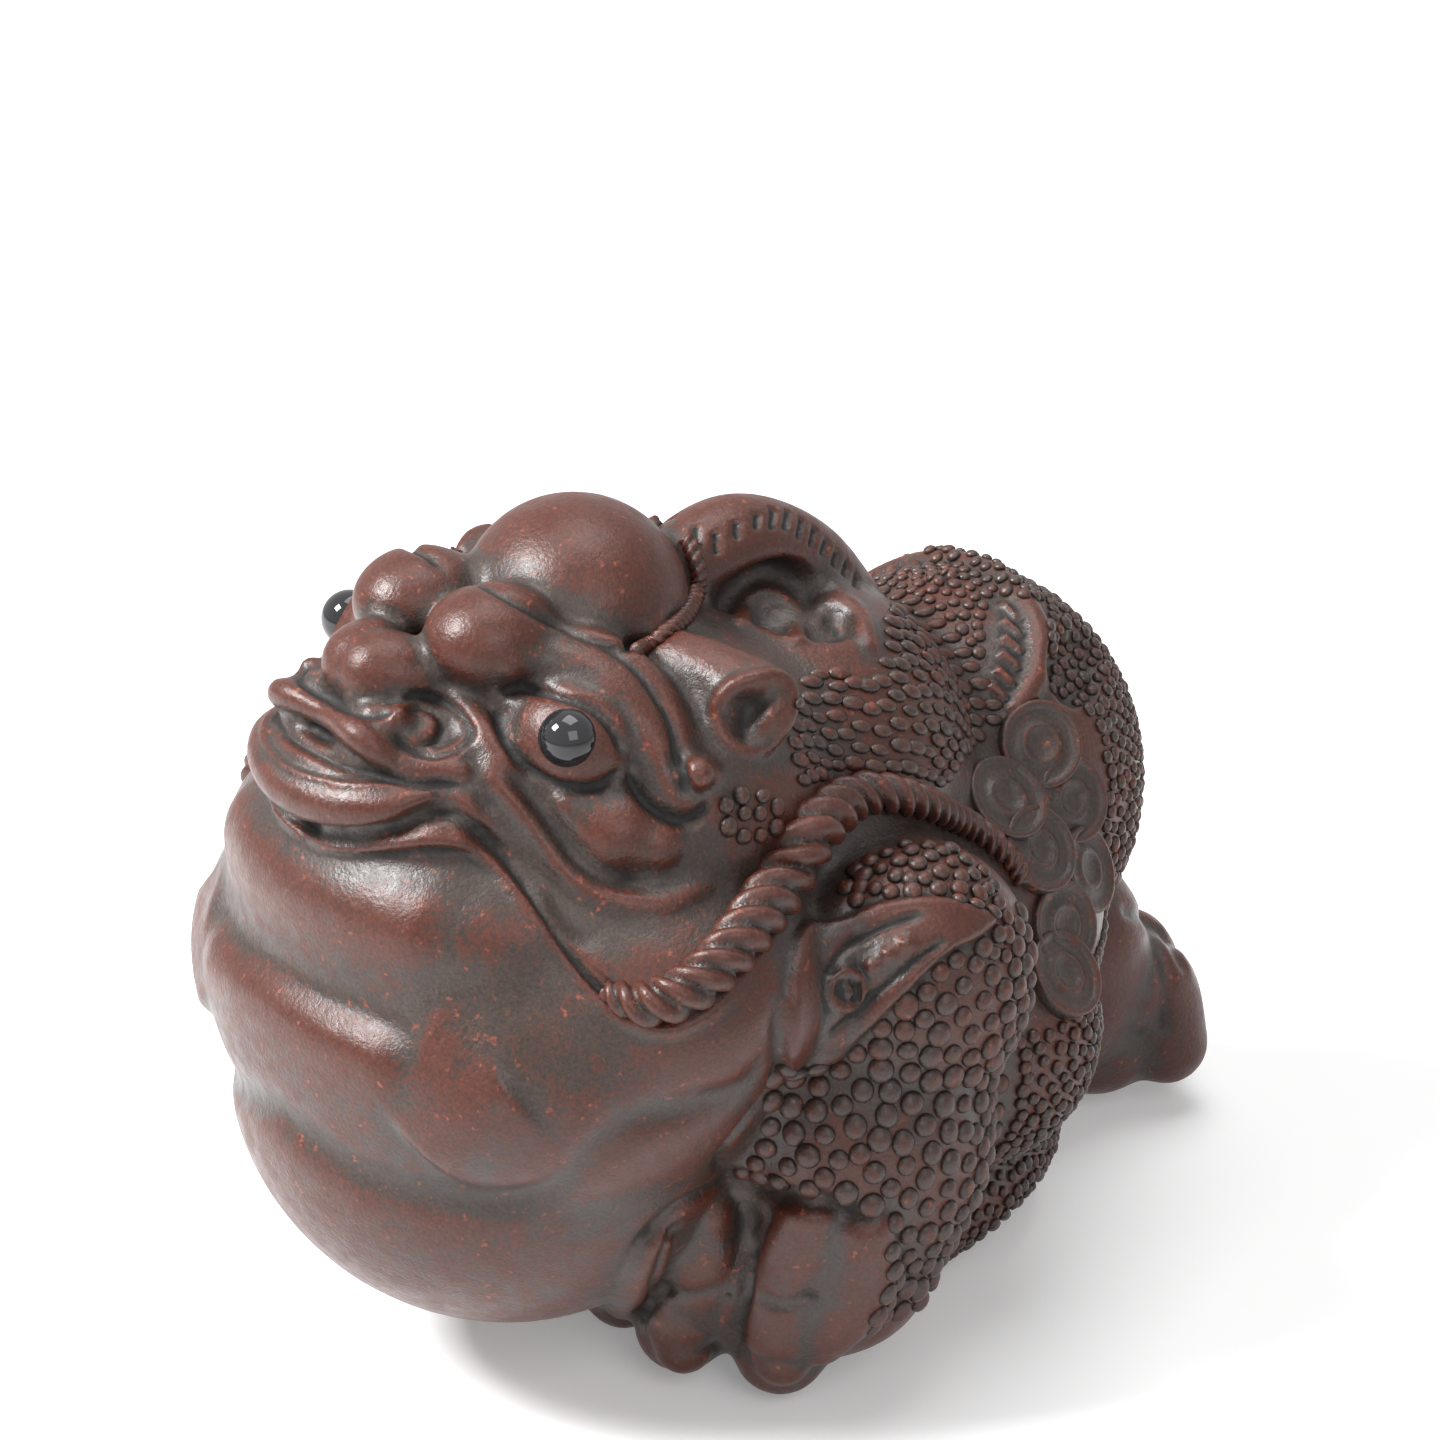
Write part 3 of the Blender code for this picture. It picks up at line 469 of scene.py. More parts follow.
def knead(name, pieces, grain, rubs):
    """Presses the pieces into one skin and rubs it smooth."""
    clay = joined(name, pieces)
    press = clay.modifiers.new("press together", "REMESH")
    press.mode = "VOXEL"
    press.voxel_size = grain
    rub = clay.modifiers.new("rub smooth", "SMOOTH")
    rub.factor = 0.5
    rub.iterations = rubs
    return settle(clay)


# Seeing the clay as the photograph does


def camera_axes():
    """The camera's right, up and back."""
    back = (CAMERA_PLACE - CAMERA_AIM).normalized()
    right = Vector((0, 0, 1)).cross(back).normalized()
    return right, back.cross(right), back


def pixels_of(places):
    """Where places, as rows of x, y and z, fall on the photograph."""
    right, up, back = (np.array(axis) for axis in camera_axes())
    away = places - np.array(CAMERA_PLACE)
    focal = PHOTO_SIDE * LENS / SENSOR
    depth = -(away @ back)
    middle = PHOTO_SIDE / 2
    across = middle + focal * (away @ right) / depth
    down = middle - focal * (away @ up) / depth
    return np.stack([across, down], axis=1)


class Sight:
    """Casts pixels of the photograph onto a clay object."""

    def __init__(self, clay):
        corners = [corner.co for corner in clay.data.vertices]
        self.tree = BVHTree.FromPolygons(corners, [face.vertices for face in clay.data.polygons])

    def spot(self, pixel):
        """The place and the outward direction under a pixel."""
        right, up, back = camera_axes()
        focal = PHOTO_SIDE * LENS / SENSOR
        middle = PHOTO_SIDE / 2
        ray = right * (pixel[0] - middle) + up * (middle - pixel[1]) - back * focal
        return self.tree.ray_cast(CAMERA_PLACE, ray.normalized())[:2]

    def path(self, pixels):
        """Places on the clay under a smooth line through the pixels."""
        found = [self.spot(pixel)[0] for pixel in curved(pixels)]
        return [place for place in found if place is not None]

    def seated(self, pixels, lift):
        """A path of x, y, z and radius whose middle stands off the clay by a share of the radius."""
        path = []
        for x, y, radius in curved(pixels):
            place, outward = self.spot((x, y))
            if place is not None:
                path.append((*(place + outward * lift * radius), radius))
        path = np.array(path)
        for _ in range(4):
            path[1:-1] = (path[:-2] + 2 * path[1:-1] + path[2:]) / 4
        return path


# Strokes


def skin_of(clay):
    """The places of the skin's corners and their outward directions."""
    count = len(clay.data.vertices)
    skin = np.empty(count * 3)
    outward = np.empty(count * 3)
    clay.data.vertices.foreach_get("co", skin)
    clay.data.vertex_normals.foreach_get("vector", outward)
    return skin.reshape(-1, 3), outward.reshape(-1, 3)


def set_skin(clay, skin):
    clay.data.vertices.foreach_set("co", skin.ravel())
    clay.data.update()


def distance_to_line(places, line):
    """How far each place is from a line, and how far along the line its nearest point is."""
    nearest = np.full(len(places), np.inf)
    along_line = np.zeros(len(places))
    for i, (start, end) in enumerate(zip(line, line[1:])):
        along = end - start
        share = np.clip((places - start) @ along / max(along @ along, 1e-9), 0, 1)
        distance = np.linalg.norm(places - start - share[:, None] * along, axis=1)
        closer = distance < nearest
        nearest[closer] = distance[closer]
        along_line[closer] = (i + share[closer]) / (len(line) - 1)
    return nearest, along_line


def closed_line(line):
    """Whether a line comes back to where it starts."""
    return np.linalg.norm(line[0] - line[-1]) < 0.5


def stroke(clay, path, width, height):
    """Draws the skin out along a path, or presses it in where the height is under zero."""
    skin, outward = skin_of(clay)
    line = np.array([tuple(point) for point in path])
    reach = 3 * width
    near = np.all((skin > line.min(0) - reach) & (skin < line.max(0) + reach), axis=1)
    distance, along = distance_to_line(skin[near], line)
    fade = np.clip(np.minimum(along, 1 - along) / STROKE_TAPER, 0, 1)
    fade = np.ones(len(fade)) if closed_line(line) else fade * fade * (3 - 2 * fade)
    skin[near] += outward[near] * (height * fade * np.exp(-((distance / width) ** 2)))[:, None]
    set_skin(clay, skin)


def on_both_sides(path):
    """The path and its mirror image, or one path across the middle where it starts beyond it."""
    near_side = [place for place in path if place[0] > 0]
    if not near_side:
        return []
    if len(near_side) < len(path):
        return [(*flipped(near_side)[::-1], *near_side)]
    return [path, flipped(path)]


def stroke_both(clay, path, width, height):
    for line in on_both_sides(path):
        stroke(clay, line, width, height)


def inside_outline(places, outline):
    """Signed distance in pixels from an outline on the photograph, over zero inside it."""
    inside = np.zeros(len(places), bool)
    for (ax, ay), (bx, by) in zip(outline, np.roll(outline, -1, axis=0)):
        crosses = (ay > places[:, 1]) != (by > places[:, 1])
        if by != ay:
            inside ^= crosses & (places[:, 0] < (bx - ax) * (places[:, 1] - ay) / (by - ay) + ax)
    distance = distance_to_line(places, np.vstack([outline, outline[:1]]))[0]
    return np.where(inside, distance, -distance)


def patch_heights(places, outward, outline, centre, reach):
    """Signed distances for the skin that the photograph sees near a place, and -inf elsewhere."""
    found = np.full(len(places), -np.inf)
    to_camera = np.array(CAMERA_PLACE) - places
    seen = np.einsum("ij,ij->i", outward, to_camera) > 0
    near = seen & (np.linalg.norm(places - np.array(centre), axis=1) < reach)
    found[near] = inside_outline(pixels_of(places[near]), outline)
    return found


def patch(clay, sight, outline, height, edge, reach):
    """Raises or sinks the skin inside an outline on the photograph, on both sides of the toad."""
    outline = curved((*outline, outline[0]), 4)[:-1]
    centre = sight.spot(outline.mean(axis=0))[0]
    skin, outward = skin_of(clay)
    mirror = np.array((-1, 1, 1))
    for turn in (1, mirror):
        depth = patch_heights(skin * turn, outward * turn, outline, centre, reach)
        share = np.clip(depth / edge, 0, 1)
        share = share * share * (3 - 2 * share)
        skin += outward * (height * share)[:, None]
    set_skin(clay, skin)


# The clay


def build_masses():
    """The body's masses as one skin."""
    masses = [lump(*mass) for mass in MIDDLE_MASSES.values()]
    for centre, radii in SIDE_MASSES.values():
        masses += [lump(centre, radii), lump(flipped(centre), radii)]
    clay = knead("masses", masses, MASS_GRAIN, MASS_RUBS)
    split = clay.modifiers.new("finer", "SUBSURF")
    split.levels = split.render_levels = 1
    return settle(clay)


def lay_on_forms(clay):
    """Presses the pearl, knobs, brows, lips, ears, crest and toes onto the masses."""
    forms = [clay] + [lump(*each, rings=5) for each in MIDDLE_LUMPS.values()]
    forms += [roll(curved(path)) for path in MIDDLE_ROLLS.values()]
    for centre, radii in SIDE_LUMPS.values():
        forms += [lump(centre, radii, rings=5), lump(flipped(centre), radii, rings=5)]
    for path in SIDE_ROLLS.values():
        forms += [roll(curved(path)), roll(flipped(curved(path)))]
    return knead("forms", forms, FORM_GRAIN, FORM_RUBS)


def lay_on_features(clay):
    """Hollows the crest and the ears, then lays rolls along lines of the photograph."""
    sight = Sight(clay)
    patch(clay, sight, np.array(CREST_HOLLOW), -2.4, 12, 16)
    patch(clay, sight, np.array(EAR_HOLE), -2.4, 8, 7)
    sight = Sight(clay)
    features = [clay]
    for pixels, lift in (
        (NOSE_TAIL, -0.2),
        (NOSTRIL_BALL, 0),
        (NOSTRIL_WING, 0.2),
        (LIP_FLAP, 0.1),
        (LIP_FILL, -0.3),
        (LIP_BAND, -0.3),
        (BROW_TAIL, -0.7),
        (BROW_CURL, 0.2),
        (CHEEK_FOLD, -0.45),
        (CHEEK_BULGE, -0.6),
        (EAR_RIM, 0.1),
        (LEAF_FILL, -0.7),
        (RUMP_BAND, 0),
        *[(curl, -0.3) for curl in CREST_CURLS],
        *[(toe, -0.4) for toe in TOES],
    ):
        features += [roll(line) for line in on_both_sides(sight.seated(pixels, lift))]
    return knead("toad_clay", features, SKIN_GRAIN, SKIN_RUBS)


def draw_folds(clay):
    """Draws the broad folds, then the fine lines on a fresh skin."""
    sight = Sight(clay)
    for pixels, width, height in (
        (CHIN_CREASE_LINE, 3, -1.5),
        (POUCH_CREASE_LINE, 2, -0.9),
        (CHIN_LOBE_LINE, 5, 0.7),
        (THROAT_LOBE_LINE, 4, 0.9),
        (POUCH_LOBE_LINE, 4, 1),
        (UPPER_RIM_LINE, 1.2, 0.6),
        (UPPER_RIM_GROOVE, 1.2, -0.7),
        (MOUTH_LINE, 0.9, -1.3),
        (CHEEK_FOLD_GROOVE, 0.9, -0.7),
        (ARM_EDGE_LINE, 0.9, -0.9),
        (FOOT_EDGE_LINE, 0.8, -0.9),
        (TOE_SPLIT_LINE, 0.8, -1),
        (INNER_TOE_LINE, 0.7, -0.7),
        *[(line, 0.8, -0.5) for line in KNUCKLE_LINES],
        *[(line, 0.8, -0.6) for line in REAR_TOE_LINES],
    ):
        stroke_both(clay, sight.path(pixels), width, height)
    patch(clay, sight, np.array(LEAF_OUTLINE), 1.1, 6, 20)
    patch(clay, sight, np.array(RUMP_PANEL), -1.6, 12, 12)
    clay = knead("toad_clay", [clay], SKIN_GRAIN, 1)
    turn = np.linspace(0, 2 * np.pi, 13)
    ring = np.array(LEAF_RING) + LEAF_RING_RADIUS * np.stack([np.cos(turn), np.sin(turn)], axis=1)
    sight = Sight(clay)
    for pixels, width, height in (
        (LOWER_RIM_LINE, 0.6, 0.7),
        (NOSTRIL_GROOVE, 0.5, -0.6),
        (NOSTRIL_CURL, 0.35, -0.4),
        (BULB_GROOVE, 0.6, -0.6),
        (FLAP_GROOVE, 0.6, -0.7),
        (BAND_EDGE, 0.4, 0.4),
        (UPPER_LID_LINE, 0.6, -1),
        (LOWER_LID_LINE, 0.5, -0.8),
        (BROW_UNDER_LINE, 0.6, -0.9),
        (BROW_OUTER_LINE, 0.7, -0.9),
        (PEARL_EDGE_LINE, 0.7, -0.8),
        (ring, 0.45, 0.7),
        *[(line, 0.75, 1) for line in LEAF_BUMPS],
        *[(line, 0.5, -0.6) for line in LEAF_VEINS],
        *[(line, 0.42, -0.5) for line in CREST_CUTS],
        *[(line, 0.5, 0.8) for line in RUMP_RIBS],
    ):
        stroke_both(clay, sight.path(pixels), width, height)
    return clay


def place_in_frame(piece):
    """Scales a finished piece to metres, shifts it to the frame and lets it ride."""
    piece.data.transform(TO_FRAME)
    piece.data.shade_smooth()
    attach(piece, ROOT)


def frame_shift():
    """Where the frame holds the potter's origin, told by the left eye."""
    low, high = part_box("eye_left")
    return (low + high) / 2 - Vector(EYE_PLACE) * MM


# Wear and painted shade: 0 in crevices, 0.5 on a plain, 1 on a ridge


def set_wear_and_shade(mesh, fine, broad):
    """Keeps on the mesh, as a colour, how far each corner stands out finely and broadly."""
    wear_and_shade = np.zeros((len(mesh.vertices), 4))
    wear_and_shade[:, 0] = fine
    wear_and_shade[:, 1] = broad
    wear_and_shade[:, 3] = 1
    layer = mesh.color_attributes.new(WEAR_AND_SHADE, "FLOAT_COLOR", "POINT")
    layer.data.foreach_set("color", wear_and_shade.ravel())


def edges_of(mesh):
    """The two corners of each edge."""
    ends = np.empty(len(mesh.edges) * 2, int)
    mesh.edges.foreach_get("vertices", ends)
    return ends.reshape(-1, 2)


def rubbed_places(places, ends, passes):
    """The places, each drawn toward the middle of its neighbours over and over."""
    count = np.bincount(ends.ravel(), minlength=len(places))[:, None]
    for _ in range(passes):
        around = np.stack(
            [
                np.bincount(ends[:, 0], places[ends[:, 1], axis], len(places))
                + np.bincount(ends[:, 1], places[ends[:, 0], axis], len(places))
                for axis in range(3)
            ],
            axis=1,
        )
        places = 0.4 * places + 0.6 * around / count
    return places


def paint_wear_and_shade(clay):
    """Tells how worn the skin is, and where painted shade darkens its crevices, by how far each corner
    stands out from rubbed copies of the skin.
    """
    skin, outward = skin_of(clay)
    ends = edges_of(clay.data)
    near = rubbed_places(skin, ends, FINE_RUBS)
    far = rubbed_places(near, ends, BROAD_RUBS)
    fine = np.einsum("ij,ij->i", skin - near, outward)
    broad = np.einsum("ij,ij->i", near - far, outward)
    # Low fine values become painted shade in the crevices; high ones become worn red
    set_wear_and_shade(clay.data, np.clip(0.5 + 3 * fine, 0, 1), np.clip(0.5 + 0.8 * broad, 0, 1))


# Separate carved pieces


def twisted(name, path):
    """A cord of strands laid round each other along a path of x, y, z and radius."""
    sides = CORD_SIDES
    lengths = np.concatenate([[0], np.cumsum(np.linalg.norm(np.diff(path[:, :3], axis=0), axis=1))])
    stations = np.linspace(0, lengths[-1], max(8, int(lengths[-1] / CORD_STEP)))
    middle = np.stack([np.interp(stations, lengths, path[:, axis]) for axis in range(4)], axis=1)
    ahead = np.gradient(middle[:, :3], axis=0)
    ahead /= np.linalg.norm(ahead, axis=1)[:, None]
    across = np.cross(ahead, (0.3, 0.2, 1))
    across /= np.linalg.norm(across, axis=1)[:, None]
    above = np.cross(across, ahead)
    angle = np.linspace(0, 2 * np.pi, sides, endpoint=False)
    turns = np.cumsum(CORD_STEP / (STRAND_LEAD * middle[:, 3]))
    lobes = np.abs(np.cos(STRANDS / 2 * (angle[None] + 2 * np.pi * turns[:, None])))
    lobes = lobes**STRAND_ROUNDNESS
    radius = middle[:, 3:4] * (1 - STRAND_DEPTH + STRAND_DEPTH * lobes)
    ring = radius[:, :, None] * (
        np.cos(angle)[None, :, None] * across[:, None] + np.sin(angle)[None, :, None] * above[:, None]
    )
    corners = (middle[:, None, :3] + ring).reshape(-1, 3)
    count = len(stations)
    faces = []
    for i in range(count - 1):
        for j in range(sides):
            k = (j + 1) % sides
            faces.append((i * sides + j, i * sides + k, (i + 1) * sides + k, (i + 1) * sides + j))
    faces.append(tuple(range(sides))[::-1])
    faces.append(tuple((count - 1) * sides + j for j in range(sides)))
    cord = built(name, corners, faces)
    # Painted shade in the grooves between strands, from their low fine values
    set_wear_and_shade(cord.data, 0.1 + 0.75 * lobes.ravel(), 0.75)
    return cord


def spread(candidates, pitch):
    """Evenly spread places chosen from many, each about a pitch from its neighbours."""
    order = np.random.default_rng(PELLET_SEED).permutation(len(candidates))
    cells = {}
    chosen = []
    for index in order:
        place = candidates[index]
        cell = tuple((place // pitch).astype(int))
        close = [
            other
            for dx in (-1, 0, 1)
            for dy in (-1, 0, 1)
            for dz in (-1, 0, 1)
            for other in cells.get((cell[0] + dx, cell[1] + dy, cell[2] + dz), ())
        ]
        if all(((place - other) ** 2).sum() > (SPREAD_CLOSENESS * pitch) ** 2 for other in close):
            cells.setdefault(cell, []).append(place)
            chosen.append(place)
    chosen = np.array(chosen)
    count = len(chosen)
    for _ in range(SPREAD_ROUNDS):
        owner = nearest_index(candidates, chosen)
        total = np.stack([np.bincount(owner, candidates[:, axis], count) for axis in range(3)], axis=1)
        size = np.bincount(owner, minlength=count)[:, None]
        chosen = np.where(size > 0, total / np.maximum(size, 1), chosen)
    return chosen


def nearest_index(places, targets):
    """For each place, the number of the nearest target."""
    found = np.empty(len(places), int)
    for start in range(0, len(places), SPREAD_BLOCK):
        end = start + SPREAD_BLOCK
        gap = ((places[start:end, None] - targets[None]) ** 2).sum(axis=2)
        found[start:end] = gap.argmin(axis=1)
    return found


def pellets(name, clay, tree, inside, pitch, radius, lift, flow, rings):
    """Pellets pressed into the skin wherever inside() is true of its places and outward directions.

    A flow, where there is one, is the way that they are drawn out.
    """
    skin, outward = skin_of(clay)
    spots = spread(skin[inside(skin, outward)], pitch)
    chance = random.Random(PELLET_SEED)
    ball = bmesh.new()
    bmesh.ops.create_icosphere(ball, subdivisions=rings, radius=1)
    unit = np.array([corner.co for corner in ball.verts])
    links = np.array([[corner.index for corner in face.verts] for face in ball.faces])
    ball.free()
    corners, faces = [], []
    for spot in spots:
        place, normal = tree.find_nearest(Vector(spot))[:2]
        if normal is None:
            continue
        size = radius * chance.uniform(*PELLET_SIZES)
        along = Vector(flow or (0, 0, 1))
        along = (along - normal * along.dot(normal)).normalized()
        stretch = PELLET_STRETCH if flow else chance.uniform(*PELLET_LENGTHS)
        sizes = (size * stretch, size, size * PELLET_FLATNESS)
        axes = np.array([along, normal.cross(along), normal])
        corners.append(unit * sizes @ axes + np.array(place + normal * lift * radius))
        faces.append(links + len(faces) * len(unit))
    field = built(name, np.concatenate(corners), np.concatenate(faces).tolist())
    # Painted shade on the low part of each pellet, where it meets the skin
    height = np.tile(unit[:, 2], len(corners))
    set_wear_and_shade(field.data, np.clip(0.3 + 0.5 * height, 0.02, 1), 0.55)
    return field


def coin_row(sight):
    """Coins that overlap along the flank."""
    sides = COIN_SIDES
    reaches, heights = zip(*COIN_PROFILE)
    rows = len(COIN_PROFILE)
    angle = np.linspace(0, 2 * np.pi, sides, endpoint=False)
    ring = np.stack([np.cos(angle), np.sin(angle)], axis=1)
    corners, faces = [], []
    for i, pixel in enumerate(COINS):
        place, outward = sight.spot(pixel)
        place = np.array(place + outward * COIN_LIFT)
        up = (outward + Vector(COIN_TIP) * (0.12 + 0.02 * (i % 3))).normalized()
        across = up.cross(Vector((0, 1, 0))).normalized()
        axes = np.array([across, up.cross(across), up])
        first = i * rows * sides
        flat = np.concatenate([ring * reach for reach in reaches])
        local = np.column_stack([flat, np.repeat(heights, sides)])
        corners.append(local @ axes + place)
        for row in range(rows - 1):
            for j in range(sides):
                k = (j + 1) % sides
                a, b = first + row * sides, first + (row + 1) * sides
                faces.append((a + j, a + k, b + k, b + j))
        faces.append(tuple(first + j for j in range(sides))[::-1])
        last = first + (rows - 1) * sides
        faces.append(tuple(last + j for j in range(sides)))
    coins = built("coins_left", np.concatenate(corners), faces)
    # Painted shade on the low parts of each coin, toward its base and sunk centre
    height = np.tile(np.repeat(heights, sides), len(COINS))
    set_wear_and_shade(coins.data, np.clip(0.5 + 0.7 * (height - 0.7), 0, 1), 0.55)
    return coins


def mirrored(piece, name):
    """The same piece on the toad's other side."""
    mesh = piece.data.copy()
    mesh.transform(Matrix.Diagonal((-1, 1, 1, 1)))
    mesh.flip_normals()
    mesh.name = name
    return keep(mesh, name)


# Where pellets sit


def within(places, outline):
    """Whether each place falls inside an outline on the photograph."""
    return inside_outline(pixels_of(places), np.array(outline)) > 0


def on_arm(places, outward):
    x, y, z = places.T
    arm = (x > 20) & (y > -27) & (y < 2) & (z > 10) & (z < 50) & (outward[:, 0] > -0.1)
    for outline in (LEAF_OUTLINE, FOOT_OUTLINE, SHOULDER_OUTLINE):
        arm &= ~within(places, outline)
    return arm


def on_shoulder(places, outward):
    near = (places[:, 0] > 22) & (places[:, 1] < 6) & (outward[:, 2] > -0.2)
    return near & within(places, SHOULDER_OUTLINE)


def on_tuft(places, outward):
    return (places[:, 0] > 18) & (outward[:, 0] > 0) & within(places, TUFT_OUTLINE)


def on_haunch(places, outward):
    x, y, z = places.T
    return (x > 8) & (y > 3) & (y < 34) & (z > 4) & (z < 34) & (outward[:, 0] > 0.1)


def on_back(places, outward):
    x, y, z = places.T
    ear = np.linalg.norm(places - (17, -22, 73), axis=1) < 8
    back = (x > 0) & (y > -18) & (y < 16) & (z > 52) & (outward[:, 2] > 0)
    return back & ~ear & within(places, BACK_OUTLINE)


def on_rump(places, outward):
    x, y, z = places.T
    return (x > 0) & (y > 16) & (z > 34) & ~within(places, RUMP_BARE)


# Materials


def clay_material():
    """Grey clay rubbed brown-red where it stands out, darkened by painted shade in the crevices, with red
    flecks.
    """
    material = bpy.data.materials.new("fired purple clay")
    material.use_nodes = True
    tree = material.node_tree
    nodes = tree.nodes
    link = tree.links.new
    shader = nodes["Principled BSDF"]

    def noise(scale, detail, rough=0.5):
        node = nodes.new("ShaderNodeTexNoise")
        node.inputs["Scale"].default_value = scale
        node.inputs["Detail"].default_value = detail
        node.inputs["Roughness"].default_value = rough
        link(where.outputs["Object"], node.inputs["Vector"])
        return node.outputs["Fac"]

    def math_of(kind, a, b):
        node = nodes.new("ShaderNodeMath")
        node.operation = kind
        for socket, value in zip(node.inputs, (a, b)):
            if isinstance(value, (int, float)):
                socket.default_value = value
            else:
                link(value, socket)
        return node.outputs[0]

    def ranged(value, low, high, to_low=0, to_high=1):
        node = nodes.new("ShaderNodeMapRange")
        node.interpolation_type = "SMOOTHSTEP"
        link(value, node.inputs["Value"])
        names = ("From Min", "From Max", "To Min", "To Max")
        for name, number in zip(names, (low, high, to_low, to_high)):
            node.inputs[name].default_value = number
        return node.outputs["Result"]

    def blend(share, a, b):
        node = nodes.new("ShaderNodeMix")
        node.data_type = "RGBA"
        link(share, node.inputs["Factor"])
        for socket, value in ((node.inputs["A"], a), (node.inputs["B"], b)):
            if isinstance(value, tuple):
                socket.default_value = value
            else:
                link(value, socket)
        return node.outputs["Result"]

    where = nodes.new("ShaderNodeTexCoord")
    wear_and_shade = nodes.new("ShaderNodeAttribute")
    wear_and_shade.attribute_name = WEAR_AND_SHADE
    parts = nodes.new("ShaderNodeSeparateColor")
    link(wear_and_shade.outputs["Color"], parts.inputs["Color"])
    fine, broad = parts.outputs["Red"], parts.outputs["Green"]

    cloud = noise(CLOUD_SCALE, 3)
    mottle = noise(MOTTLE_SCALE, 4, 0.6)
    sand = noise(SAND_SCALE, 3, 0.6)
    speck = noise(SPECK_SCALE, 2)

    height = math_of("ADD", math_of("MULTIPLY", fine, 0.55), math_of("MULTIPLY", broad, 0.45))
    height = math_of("ADD", height, math_of("MULTIPLY", math_of("SUBTRACT", cloud, 0.5), 0.5))
    height = math_of("ADD", height, math_of("MULTIPLY", math_of("SUBTRACT", mottle, 0.5), 0.6))
    height = math_of("ADD", height, math_of("MULTIPLY", math_of("SUBTRACT", sand, 0.5), 0.5))
    red = ranged(height, 0.5, 0.74)
    base = blend(red, CLAY_GREY, CLAY_RED)
    flecks = math_of("MULTIPLY", ranged(speck, 0.62, 0.72), ranged(mottle, 0.45, 0.6))
    base = blend(flecks, base, CLAY_FLECK)
    # Painted shade: the crevices are darkened toward near-black, and also made rougher
    crevice_painted_shade = ranged(fine, 0.38, 0.06)
    base = blend(crevice_painted_shade, base, CREVICE_PAINTED_SHADE)
    grain = ranged(sand, 0.3, 0.7, 0.7, 1.28)
    shade = nodes.new("ShaderNodeMix")
    shade.data_type = "RGBA"
    shade.blend_type = "MULTIPLY"
    shade.inputs["Factor"].default_value = 1
    link(base, shade.inputs["A"])
    tone = nodes.new("ShaderNodeCombineColor")
    for name in ("Red", "Green", "Blue"):
        link(grain, tone.inputs[name])
    link(tone.outputs["Color"], shade.inputs["B"])
    link(shade.outputs["Result"], shader.inputs["Base Color"])
    rough = math_of("ADD", ranged(mottle, 0.3, 0.7, 0.32, 0.46), math_of("MULTIPLY", crevice_painted_shade, 0.3))
    link(rough, shader.inputs["Roughness"])
    shader.inputs["Specular IOR Level"].default_value = SHEEN
    bump = nodes.new("ShaderNodeBump")
    bump.inputs["Distance"].default_value = BUMP_HEIGHT
    bump.inputs["Strength"].default_value = BUMP_STRENGTH
    bumps = math_of("ADD", math_of("MULTIPLY", sand, 0.7), math_of("MULTIPLY", mottle, 1.2))
    link(bumps, bump.inputs["Height"])
    link(bump.outputs["Normal"], shader.inputs["Normal"])
    return material


def glass_material():
    material = bpy.data.materials.new("black glass")
    material.use_nodes = True
    shader = material.node_tree.nodes["Principled BSDF"]
    shader.inputs["Base Color"].default_value = EYE_GLASS
    shader.inputs["Roughness"].default_value = 0.06
    return material


# Studio


def aimed(thing, place, aim):
    """Puts a camera or lamp at a place and turns it toward its aim."""
    thing.location = place
    thing.rotation_mode = "QUATERNION"
    thing.rotation_quaternion = (Vector(aim) - Vector(place)).to_track_quat("-Z", "Y")


def soft_light(name, place, aim, side, power):
    light = bpy.data.lights.new(name, "AREA")
    light.shape = "RECTANGLE"
    light.size = light.size_y = side
    light.energy = power
    lamp = bpy.data.objects.new(name, light)
    bpy.context.scene.collection.objects.link(lamp)
    aimed(lamp, place, aim)


def link_when_seen(tree, socket, otherwise, seen):
    """Gives a socket one value for rays that show the thing and another for rays that light with it."""
    path = tree.nodes.new("ShaderNodeLightPath")
    shown = path.outputs["Is Camera Ray"]
    for ray in ("Is Glossy Ray", "Is Transmission Ray"):
        either = tree.nodes.new("ShaderNodeMath")
        either.operation = "MAXIMUM"
        tree.links.new(shown, either.inputs[0])
        tree.links.new(path.outputs[ray], either.inputs[1])
        shown = either.outputs[0]
    choice = tree.nodes.new("ShaderNodeMapRange")
    choice.inputs["To Min"].default_value = otherwise
    choice.inputs["To Max"].default_value = seen
    tree.links.new(shown, choice.inputs["Value"])
    tree.links.new(choice.outputs["Result"], socket)


def white_world():
    """White to the eye and in reflections, dimmer as a light."""
    world = bpy.data.worlds.new("studio")
    world.use_nodes = True
    background = world.node_tree.nodes["Background"]
    background.inputs["Color"].default_value = (1, 1, 1, 1)
    link_when_seen(world.node_tree, background.inputs["Strength"], WORLD_LIGHT, 1)
    return world


def pale_floor():
    """A pale floor that looks a little brighter than it lights."""
    floor_mesh = bpy.data.meshes.new("floor")
    plane = bmesh.new()
    bmesh.ops.create_grid(plane, x_segments=1, y_segments=1, size=FLOOR_REACH)
    plane.to_mesh(floor_mesh)
    plane.free()
    floor = keep(floor_mesh, "floor")
    white = bpy.data.materials.new("pale floor")
    white.use_nodes = True
    paint = white.node_tree.nodes["Principled BSDF"].inputs
    paint["Base Color"].default_value = FLOOR_TONE
    paint["Roughness"].default_value = 0.8
    paint["Emission Color"].default_value = (1, 1, 1, 1)
    link_when_seen(white.node_tree, paint["Emission Strength"], 0, FLOOR_GLOW)
    floor_mesh.materials.append(white)
    return floor


def photo_camera():
    camera = bpy.data.objects.new("camera", bpy.data.cameras.new("camera"))
    bpy.context.scene.collection.objects.link(camera)
    camera.data.lens = LENS
    camera.data.sensor_width = SENSOR
    camera.data.clip_start = 0.01
    aimed(camera, TO_FRAME @ CAMERA_PLACE, TO_FRAME @ CAMERA_AIM)
    return camera


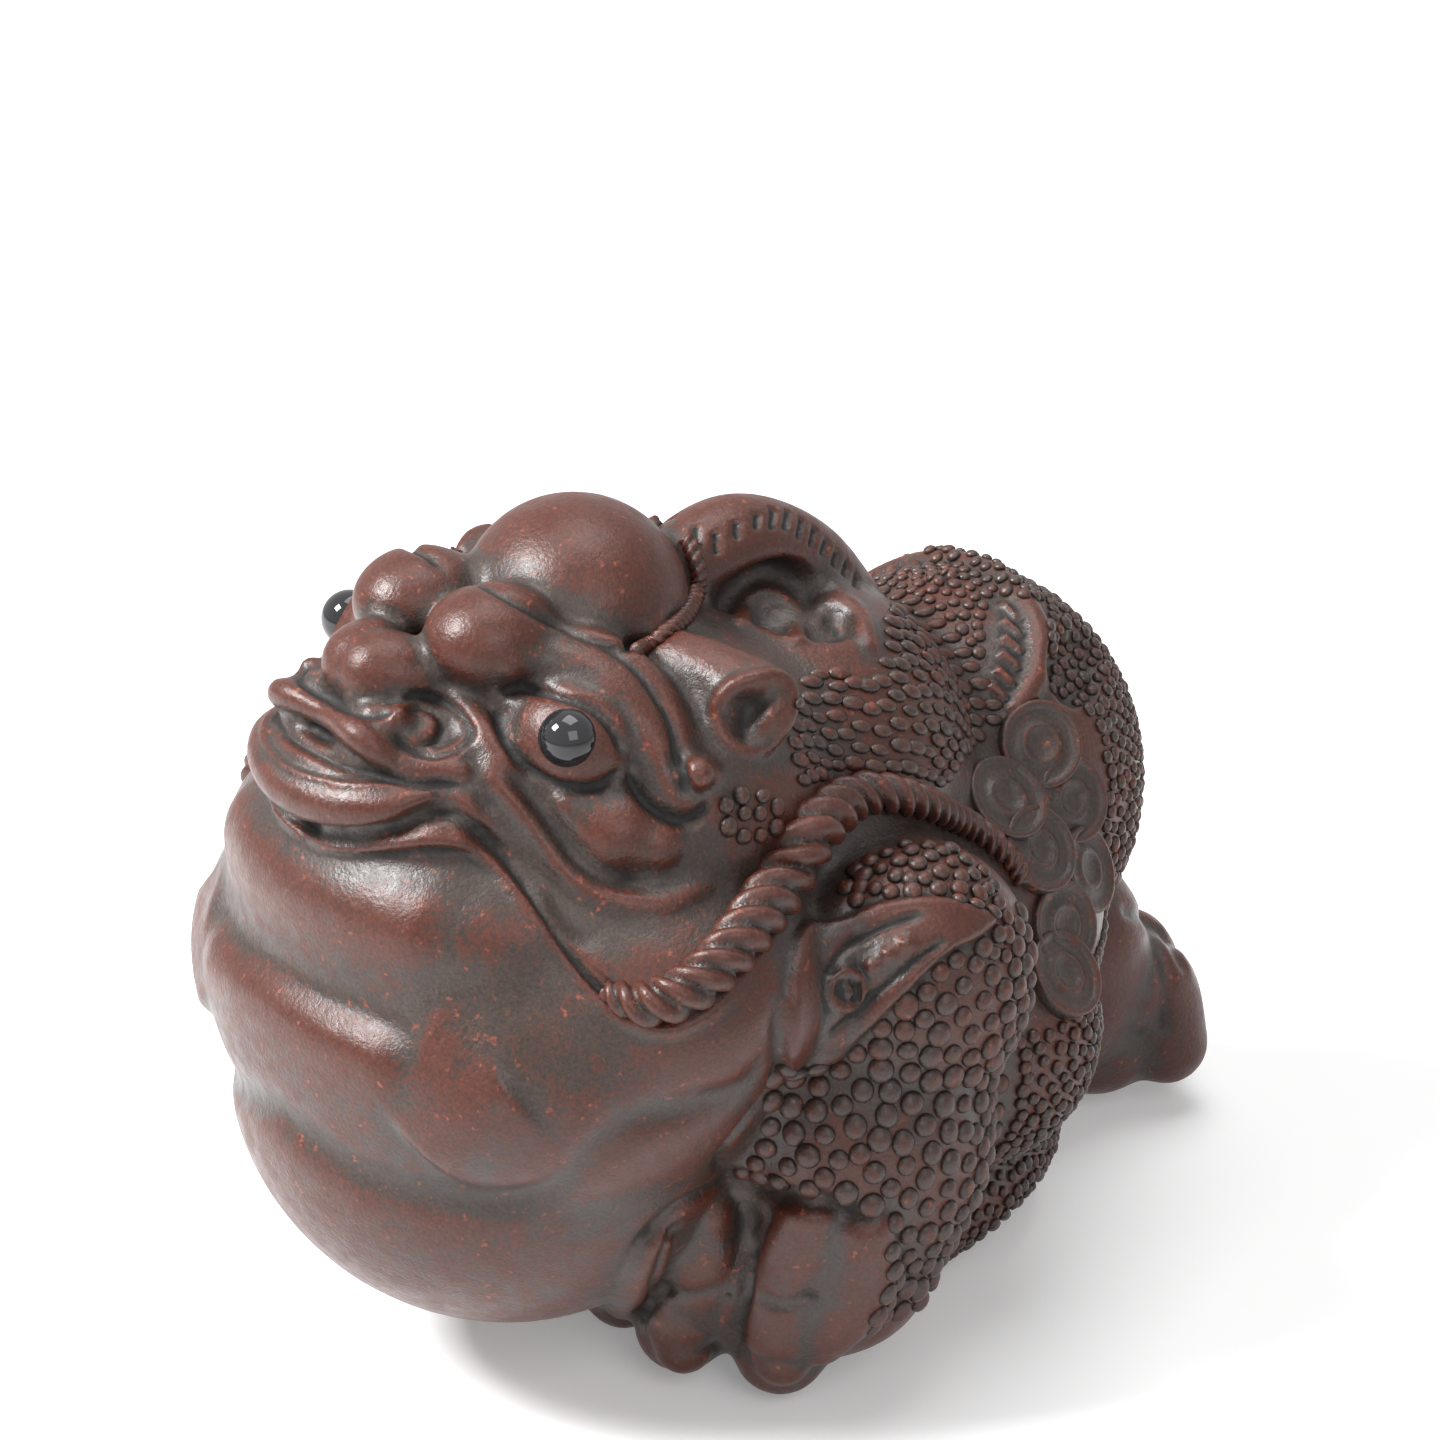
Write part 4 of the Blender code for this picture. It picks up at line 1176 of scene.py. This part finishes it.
def build_studio():
    scene = bpy.context.scene
    scene.view_settings.view_transform = "Standard"
    scene.world = white_world()
    pale_floor()
    scene.camera = photo_camera()
    right, up, back = camera_axes()
    heart = TO_FRAME @ Vector(HEART)
    for name, (away, side, power) in LAMPS.items():
        place = heart + back * away[0] + right * away[1] + up * away[2]
        soft_light(name, place, heart, side, power)


# The toad

TO_FRAME = Matrix.Translation(frame_shift()) @ Matrix.Diagonal((MM, MM, MM, 1))

clay = draw_folds(lay_on_features(lay_on_forms(build_masses())))
sight = Sight(clay)
carved = [
    twisted("cord_left", sight.seated(CORD_LINE, CORD_LIFT)),
    twisted("collar_left", sight.seated(COLLAR_LINE, COLLAR_LIFT)),
]
for name, inside, pitch, radius, lift, flow, rings in (
    ("arm_pellets_left", on_arm, 2.45, 1.2, 0, None, 3),
    ("haunch_pellets_left", on_haunch, 1.6, 0.75, 0.2, None, 2),
    ("back_pellets_left", on_back, 1.9, 0.75, 0.1, BACK_FLOW, 2),
    ("rump_pellets_left", on_rump, 1.5, 0.72, 0.1, None, 2),
    ("shoulder_pellets_left", on_shoulder, 1.8, 0.9, 0.15, None, 3),
    ("tuft_left", on_tuft, 2, 0.98, 0.1, None, 2),
):
    carved.append(pellets(name, clay, sight.tree, inside, pitch, radius, lift, flow, rings))
carved.append(coin_row(sight))

thin = clay.modifiers.new("fewer faces", "DECIMATE")
thin.ratio = min(1, SKIN_TRIANGLES / (2 * len(clay.data.polygons)))
clay = settle(clay)
skin, _ = skin_of(clay)
skin[:, 2] = np.maximum(skin[:, 2], 0)
set_skin(clay, skin)
paint_wear_and_shade(clay)

pieces = [clay]
for piece in carved:
    pieces += [piece, mirrored(piece, piece.name.replace("left", "right"))]
skin_material = clay_material()
for piece in pieces:
    piece.data.materials.clear()
    piece.data.materials.append(skin_material)
    place_in_frame(piece)
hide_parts("toad_body")

glass = glass_material()
for name, place in (("eye_left", EYE_PLACE), ("eye_right", flipped(EYE_PLACE))):
    bead = lump(place, [EYE_RADIUS] * 3, rings=6)
    bead.name = name + "_bead"
    bead.data.materials.append(glass)
    place_in_frame(bead)
    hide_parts(name)
build_studio()
